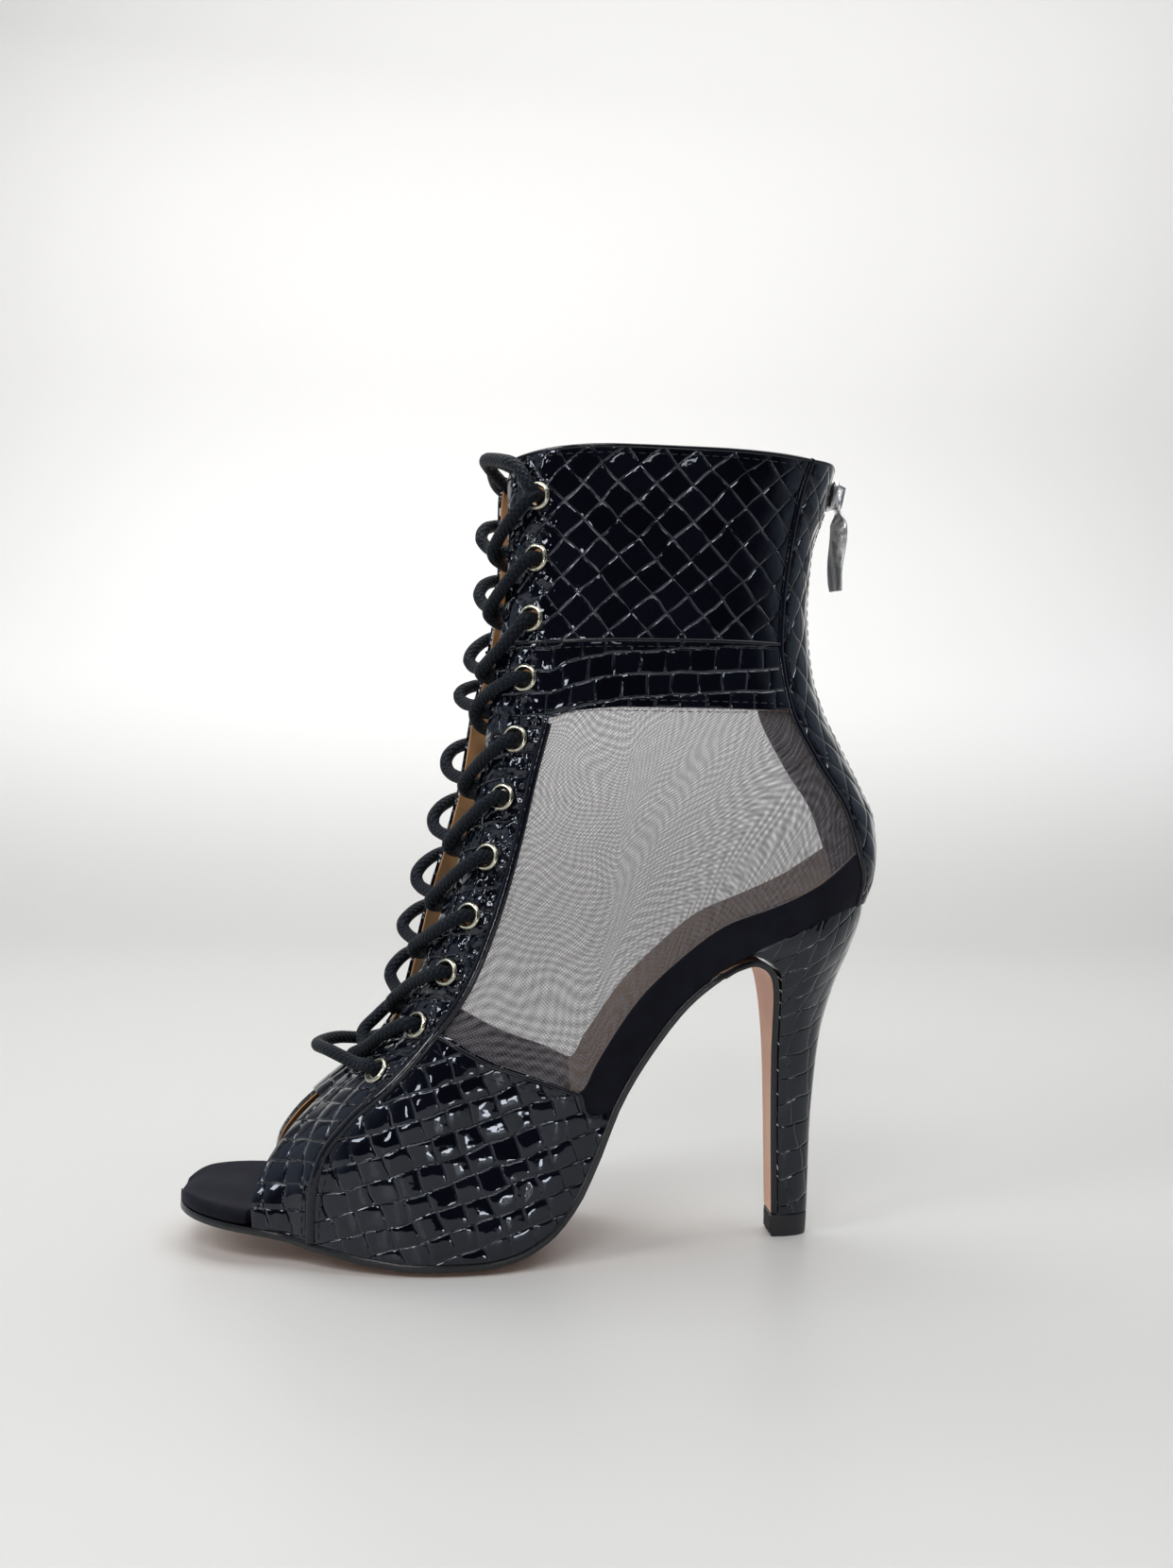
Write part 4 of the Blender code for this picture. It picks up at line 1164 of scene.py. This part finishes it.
def makeHeel():
    steps, rows = heelSet["steps"], heelSet["rows"]
    rings = []
    for n in range(rows + 1):
        x = (len(heelRings) - 1) * n / rows
        rings.append(heelRing(*[line(x) for line in heelLines], steps))
    front, back, halfFront, widest = heelTop
    top = heelRing(front, 0, back, 0, halfFront, widest, steps)
    for point in top:
        point.z = footUp(point.x / mm + sizes["length"] / 2) * mm
    last = rings[-1]
    for share in (0.5, 1.0):
        rings.append([a.lerp(b, share) for a, b in zip(last, top)])
    around = len(top)

    def heelMap(i, j, along, high):
        return (i / around - 0.5) * along[(around, j)], high[(around // 2, j)]

    return loft("heelCover", rings, heelMap, ringsFirst=True)


heel = makeHeel()
smoothShade(heel, 50)
finishPiece(heel, "heel", replaced=("heel",))

topSet = {
    # height, and how far its outline draws in there
    "levels": ((0, 0.9), (0.35, 0.45), (0.8, 0.3), (6.4, 0), (6.8, 0.1), (7.0, 0.35)),
    "ribs": 6, "ribPitch": 1.52, "ribRadius": 0.45, "ribLong": 5.2, "ribUp": 3.6, "firstRib": -3.8,
}


def makeTopPiece():
    _, _, back, _, halfFront, widest = heelRings[0]
    start = breastLine[-1][0] - sizes["outsole"]
    rings = []
    for up, draw in topSet["levels"]:
        half = draw * 0.5
        widths = (halfFront + 0.2 - half, widest + 0.1 - half)
        rings.append(heelRing(start + half, up, back - draw, up, *widths, 10))
    made = [loft("heelTopPiece", rings, ringsFirst=True)]
    # ribs on its front face, as moulded
    for k in range(topSet["ribs"]):
        across = topSet["firstRib"] + topSet["ribPitch"] * k
        bpy.ops.object.select_all(action="DESELECT")
        bpy.ops.mesh.primitive_cylinder_add(vertices=10, radius=topSet["ribRadius"] * mm,
                                            depth=topSet["ribLong"] * mm)
        rib = bpy.context.object
        rib.data.transform(Matrix.Translation(place(start + 0.15, across, topSet["ribUp"])))
        made.append(rib)
    return joinObjects("heelTopPiece", made)


topPiece = makeTopPiece()
smoothShade(topPiece, 40)
finishPiece(topPiece, "rubber", replaced=("top_piece",))
print("heel made")

# eyelets


def makeEyelet():
    flange, bore, seat = eyeletSet["flange"] / 2, eyeletSet["bore"] / 2, eyeletSet["seat"]
    # radius and height of the stamped ring, from its outer rim over the roll and down the barrel
    profile = [
        (flange, 0.0), (flange - 0.08, 0.25), (flange - 0.4, 0.6), (flange - 0.85, 0.8),
        (bore + 0.4, 0.72), (bore + 0.1, 0.45), (bore, 0.0), (bore, -1.7), (bore + 0.6, -2.0),
        (bore + 0.3, -1.6), (bore + 0.28, -0.2), (flange - 0.3, -0.1),
    ]
    around = 28
    total = len(profile)

    def shape(s, t):
        radius, up = profile[round(t * total) % total]
        angle = 2 * math.pi * s
        return Vector((radius * math.cos(angle), radius * math.sin(angle), up + seat)) * mm

    return shapedGrid("eyelet", around, total, shape, roll=True)


eyelet = makeEyelet()
smoothShade(eyelet, 60)
for side in (-1, 1):
    for number, row in enumerate(rowsOfEyelets, 1):
        name = sideNames[side]
        copy = copyOf(eyelet, f"eyelet{name}{number:02d}", eyeletMatrix(row, side))
        finishPiece(copy, "brass", replaced=(f"eyelet_{name.lower()}_{number:02d}",))
bpy.data.objects.remove(eyelet)
print("eyelets made")

# lace

laceSet = {"thick": 4.0, "sides": 12}


def curvePoints(points, steps):
    ends = [points[0] * 2 - points[1], *points, points[-1] * 2 - points[-2]]
    made = []
    for a, b, c, d in zip(ends, ends[1:], ends[2:], ends[3:]):
        for i in range(steps):
            t = i / steps
            made.append(((b * 2) + (c - a) * t + (a * 2 - b * 5 + c * 4 - d) * t * t
                         + (b * 3 - a - c * 3 + d) * t ** 3) * 0.5)
    made.append(points[-1])
    return made


def atEdge(row, side, ahead, inwards, up=0.0):
    # beside the front edge of one eyestay: mm ahead of it and mm in towards the middle
    return onSkin(0, row, side) + Vector((-ahead, -side * inwards, up)) * mm


def laceRun(number, side):
    # out of an eyelet, down over the edge, across the throat in a slack bow and under to the next eyelet
    row, below = rowsOfEyelets[number], rowsOfEyelets[number + 1]
    step = below - row
    share = eyeletSet["share"]
    radius = laceSet["thick"] / 2
    lift = radius + eyeletSet["seat"] + eyeletSet["height"]
    if side < 0:
        over = [
            onSkin(share * 0.97, row + 0.02 * step, side, lift - 0.6),
            onSkin(share * 0.7, row + 0.16 * step, side, lift + 0.1),
            onSkin(0.14, row + 0.4 * step, side, radius + 1.0),
            atEdge(row + 0.6 * step, side, 3.0, 0.2),
            atEdge(row + 0.8 * step, side, 4.6, 3.4),
            atEdge(row + 0.93 * step, side, 2.6, 7.2),
        ]
    else:
        over = [
            onSkin(share * 0.9, row + 0.0 * step, side, lift - 0.5),
            onSkin(share * 0.5, row + 0.03 * step, side, lift + 0.2),
            onSkin(0.06, row + 0.1 * step, side, radius + 1.0),
            atEdge(row + 0.22 * step, side, 4.2, 1.0),
            atEdge(row + 0.42 * step, side, 5.2, 4.0),
            atEdge(row + 0.62 * step, side, 2.4, 7.6),
            onSkin(0, row + 0.78 * step, -side) + Vector((-0.4, 3.6, 0)) * mm,
        ]
    return [
        onSkin(share, row, side, -0.6),
        *over,
        onSkin(0.26, row + 0.96 * step, -side, -sizes["wall"] - radius - 0.6),
        onSkin(share * 0.96, below - 0.01 * step, -side, -sizes["wall"] - radius - 0.5),
    ]


def strand(side):
    # from inside the collar, over its front edge, in at the top eyelet and down to the lowest one
    share, radius, top = eyeletSet["share"], laceSet["thick"] / 2, rowsOfEyelets[0]
    inside = -sizes["wall"] - radius
    crest = onSkin(0.0, 3.97, side, 1.5).lerp(onSkin(0.0, 3.97, -side, 1.5), 0.5)
    points = [
        onSkin(0.35, 3.86, -side, inside - 0.4),
        onSkin(0.05, 3.93, -side, -radius - 1.0) + Vector((-1.5, 0, 1.0)) * mm,
        crest + Vector((-5.7 if side < 0 else -3.2, 0, 3.0)) * mm,
        onSkin(0.06, 3.94, side, radius + 1.0) + Vector((-0.6, 0, 0.8)) * mm,
        onSkin(0.3, top + 0.13, side, radius + 1.3),
        onSkin(0.5, top + 0.03, side, radius + 0.9),
        onSkin(share, top, side, -0.6),
        onSkin(share, top - 0.02, side, inside - 0.4),
        onSkin(share, top - 0.03, side, inside - 0.2),
    ]
    for number in range(eyeletSet["count"] - 1):
        points += laceRun(number, -side if number % 2 else side)
    return points + [onSkin(share, rowsOfEyelets[-1], side, -0.6)]


def makeLace():
    # the bar at the foot of the throat joins both strands in one forward loop
    share, last, radius = eyeletSet["share"], rowsOfEyelets[-1], laceSet["thick"] / 2
    lift = radius + eyeletSet["seat"] + eyeletSet["height"]
    middle = skinPoint(0, last, -1).lerp(skinPoint(0, last, 1), 0.5)
    bar = [
        onSkin(share, last, -1, lift - 0.4),
        onSkin(0.3, last - 0.01, -1, lift + 0.8),
        middle + Vector((-7.5, -10, 4.5)) * mm,
        middle + Vector((-12.5, 0, 4.5)) * mm,
        middle + Vector((-7.5, 10, 4.5)) * mm,
        onSkin(0.3, last - 0.01, 1, lift + 0.8),
        onSkin(share, last, 1, lift - 0.4),
    ]
    fine = curvePoints(strand(-1) + bar + strand(1)[::-1], 7)
    length = sum((b - a).length for a, b in zip(fine, fine[1:]))
    print("lace length:", round(length, 3), "m")
    return tubeAlong("lace", fine, radius, laceSet["sides"])


lace = makeLace()
smoothShade(lace, 70)
crossings = [f"lace_crossing_{i:02d}" for i in range(1, eyeletSet["count"])]
finishPiece(lace, "cord", replaced=(*crossings, "lace_bar"))
print("lace made")

# zip

zipSet = {"tapeWidth": 6.4, "guardWidth": 13, "cloth": 0.5, "toothPitch": 1.45, "from": 1.22, "to": 3.985}


def backPoint(row, lift, across=0.0):
    along, up = onLine(4, row)
    low, high = onLine(4, max(row - 0.03, 0)), onLine(4, min(row + 0.03, 4))
    rise = Vector((high[0] - low[0], 0, high[1] - low[1])).normalized()
    out = Vector((rise.z, 0, -rise.x))
    return place(along, across, up) + out * lift * mm, out, rise


def backCloth(name, rows, steps, lift, width, replaced=()):
    def shape(s, t):
        return backPoint(mix(*rows, t), lift, (s - 0.5) * width)[0]

    cloth = shapedGrid(name, 8, steps, shape)
    if sum(p.normal.x for p in cloth.data.polygons) < 0:
        cloth.data.flip_normals()
    applyModifier(cloth, "SOLIDIFY", "wall", thickness=zipSet["cloth"] * mm, offset=-1)
    smoothShade(cloth)
    finishPiece(cloth, "tape", replaced=replaced)


backCloth("zipTape", (zipSet["from"], zipSet["to"]), 90, 0.1, zipSet["tapeWidth"], ("zip",))

# a wider cloth guard behind the tape closes the channel from inside
backCloth("zipGuard", (zipSet["from"] - 0.04, 3.97), 70, -1.95, zipSet["guardWidth"])


def makeTeeth():
    steps, start, end = 600, zipSet["from"] + 0.03, zipSet["to"] - 0.02
    line = [backPoint(mix(start, end, i / steps), 0.35) for i in range(steps + 1)]
    run, wanted, spots = 0.0, 0.0, []
    for (a, _, _), (b, out, rise) in zip(line, line[1:]):
        run += (b - a).length / mm
        if run >= wanted:
            spots.append((b, out, rise))
            wanted += zipSet["toothPitch"] / 2
    bpy.ops.object.select_all(action="DESELECT")
    bpy.ops.mesh.primitive_cube_add(size=1)
    tooth = bpy.context.object
    tooth.data.transform(Matrix.Diagonal((0.75 * mm, 2.1 * mm, 0.8 * mm, 1)))
    applyModifier(tooth, "BEVEL", "round", width=0.14 * mm, segments=1)
    across = Vector((0, 1, 0))
    made = []
    for k, (point, out, rise) in enumerate(spots):
        shift = across * 0.75 * mm * (-1 if k % 2 else 1)
        made.append(copyOf(tooth, "tooth", axesMatrix(point + shift, out, across, rise)))
    bpy.data.objects.remove(tooth)
    return joinObjects("zipTeeth", made)


teeth = makeTeeth()
smoothShade(teeth, 30)
finishPiece(teeth, "steel")


def dressedCopy(node, name, width, body):
    # the solid's own form with its edges rounded
    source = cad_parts[node]
    copy = copyOf(source, name, source.matrix_world)
    pick(copy)
    bpy.ops.object.mode_set(mode="EDIT")
    bpy.ops.mesh.select_all(action="SELECT")
    bpy.ops.mesh.remove_doubles(threshold=0.00002)
    bpy.ops.mesh.tris_convert_to_quads(face_threshold=math.radians(2), shape_threshold=math.radians(180))
    bpy.ops.object.mode_set(mode="OBJECT")
    softEdges(copy, width, 35)
    smoothShade(copy, 35)
    finishPiece(copy, "steel", body=body, replaced=(node,))


dressedCopy("zip_slider", "zipSlider", 0.25, "boot")

pullSet = {
    "hingeAlong": 94.836, "hingeUp": 235.6, "drop": 1.9, "eye": (0.1, 2.6, 2.9), "wire": 0.62,
    "long": 26.0, "wide": 5.6, "thick": 0.9, "twist": 47.0,
    "corners": [(-0.5, -0.3), (-0.5, 0.3), (-0.44, 0.5), (0.44, 0.5),
                (0.5, 0.3), (0.5, -0.3), (0.44, -0.5), (-0.44, -0.5)],
}


def makePull():
    # a wire eye over the slider's bar, and a flat tab that hangs from it with a slight twist
    centre = Vector((pullSet["hingeAlong"], sizes["yShift"], pullSet["hingeUp"] - pullSet["drop"])) * mm
    deep, half, high = pullSet["eye"]
    ring = []
    for i in range(24):
        angle = 2 * math.pi * i / 24
        spot = Vector((deep * math.sin(angle), half * math.sin(angle), high * math.cos(angle)))
        ring.append(centre + spot * mm)
    eye = tubeAlong("pullEye", ring + [ring[0]], pullSet["wire"], 8, closedEnds=False)
    weld(eye, 0.05)
    top = centre + Vector((0, 0, -2.2 * mm))

    def shape(s, t):
        turn = math.radians(pullSet["twist"] * ease(s / 0.22) + 14 * math.sin(s * 5.2) * ease(s / 0.3))
        width = pullSet["wide"] * mix(0.62, 1.0, ease(s / 0.14)) * (1 - 0.12 * ease((s - 0.9) / 0.1))
        a, b = pullSet["corners"][round(t * 8) % 8]
        side, deep = a * width, b * pullSet["thick"]
        x = deep * math.cos(turn) - side * math.sin(turn) + 0.55 * math.sin(s * 6.0)
        y = side * math.cos(turn) + deep * math.sin(turn)
        return top + Vector((x, y, -s * pullSet["long"])) * mm

    tab = shapedGrid("pullTab", 26, 8, shape, roll=True, caps=True)
    return joinObjects("zipPull", [eye, tab])


pull = makePull()
smoothShade(pull, 35)
finishPiece(pull, "steel", body="pull", replaced=("zip_pull",))
print("zip made")

# floor and light

# floor and wall are one paper sweep in two tones: the darker floor is painted shade
studioSet = {
    "floor": (0.415, 0.41, 0.395),
    "wall": (0.93, 0.925, 0.915),
    "bright": (0.66, 0.76, 0.90),
    "dark": (0.012, 0.013, 0.017),
}


def makeStage():
    bpy.ops.object.select_all(action="DESELECT")
    bpy.ops.mesh.primitive_plane_add(size=6, location=(0, 0, 0))
    floor = bpy.context.object
    floor.name = floor.data.name = "studioSweep"
    bpy.ops.object.mode_set(mode="EDIT")
    bpy.ops.mesh.select_all(action="DESELECT")
    shape = bmesh.from_edit_mesh(floor.data)
    shape.edges.ensure_lookup_table()
    for edge in shape.edges:
        edge.select = all(v.co.y > 2.9 for v in edge.verts)
    for vert in shape.verts:
        vert.co.y = 1.4 if vert.co.y > 2.9 else -0.62
    bmesh.update_edit_mesh(floor.data)
    bpy.ops.mesh.extrude_region_move(TRANSFORM_OT_translate={"value": (0, 0, 3)})
    bpy.ops.object.mode_set(mode="OBJECT")
    applyModifier(floor, "BEVEL", "sweep", width=0.7, segments=16, limit_method="ANGLE",
                  angle_limit=math.radians(60))
    smoothShade(floor, 60)
    nodes = Nodes("paper sweep")
    cloud = nodes.spots(nodes.solid(), 1.2, 2.0)["Fac"]
    height = nodes.split(nodes.solid())["Z"]
    # the paper is painted darker on the floor and paler up the wall: painted shade on the floor
    base = nodes.blend(nodes.smooth(height, -0.1, 0.3), studioSet["floor"], studioSet["wall"])
    tone = nodes.blend(nodes.times(cloud, 0.04), base, (0.6, 0.6, 0.6))
    nodes.set(Base_Color=tone, Roughness=0.42, Specular_IOR_Level=0.35)
    floor.data.materials.clear()
    floor.data.materials.append(nodes.material)


def areaLight(name, place3, aim, size, power, colour=(1, 1, 1)):
    data = bpy.data.lights.new(name, "AREA")
    data.shape = "RECTANGLE"
    data.size, data.size_y = size
    data.energy = power
    data.color = colour
    light = bpy.data.objects.new(name, data)
    bpy.context.scene.collection.objects.link(light)
    light.location = place3
    light.visible_camera = False
    light.rotation_euler = (Vector(aim) - Vector(place3)).to_track_quat("-Z", "Y").to_euler()


makeStage()
areaLight("topSoftbox", (0.06, 0.15, 1.3), (0, 0, 0.1), (2.2, 0.9), 15.5, (1, 0.985, 0.96))
areaLight("highFront", (-0.25, -0.8, 1.0), (0, 0, 0.13), (0.55, 0.22), 5.0)
areaLight("leftSoftbox", (-0.8, -0.45, 0.75), (0, 0, 0.1), (0.28, 0.42), 4.5)
areaLight("lowFront", (0.02, -0.85, 0.5), (0, 0, 0.1), (0.12, 0.04), 0.1)
areaLight("sideWindow", (-0.165, -0.445, 0.13), (-0.03, -0.03, 0.045), (0.05, 0.1), 0.2)
areaLight("lowWindow", (0.08, -0.256, 0.013), (-0.022, -0.031, 0.042), (0.035, 0.015), 0.024)
areaLight("backWash", (0.3, 0.5, 1.5), (0.3, 1.3, 0.7), (2.4, 0.5), 13.5, (1, 0.985, 0.96))


def lightWorld():
    # white room behind and to both sides, dark room behind the camera
    world = bpy.data.worlds.new("studioAir")
    bpy.context.scene.world = world
    air = Nodes("studioAir", world)
    height = air.split(air.add("ShaderNodeTexCoord").outputs["Generated"])["Y"]
    tone = air.blend(air.smooth(height, -0.8, -0.1), studioSet["dark"], studioSet["bright"])
    # what the camera sees past the paper is plain pale air
    seen = air.add("ShaderNodeLightPath").outputs["Is Camera Ray"]
    background = air.tree.nodes["Background"]
    air.join(air.blend(seen, tone, (1.3, 1.3, 1.3)), background.inputs["Color"])
    background.inputs["Strength"].default_value = 0.5


lightWorld()
bpy.context.scene.view_settings.view_transform = "Standard"
print("studio made")
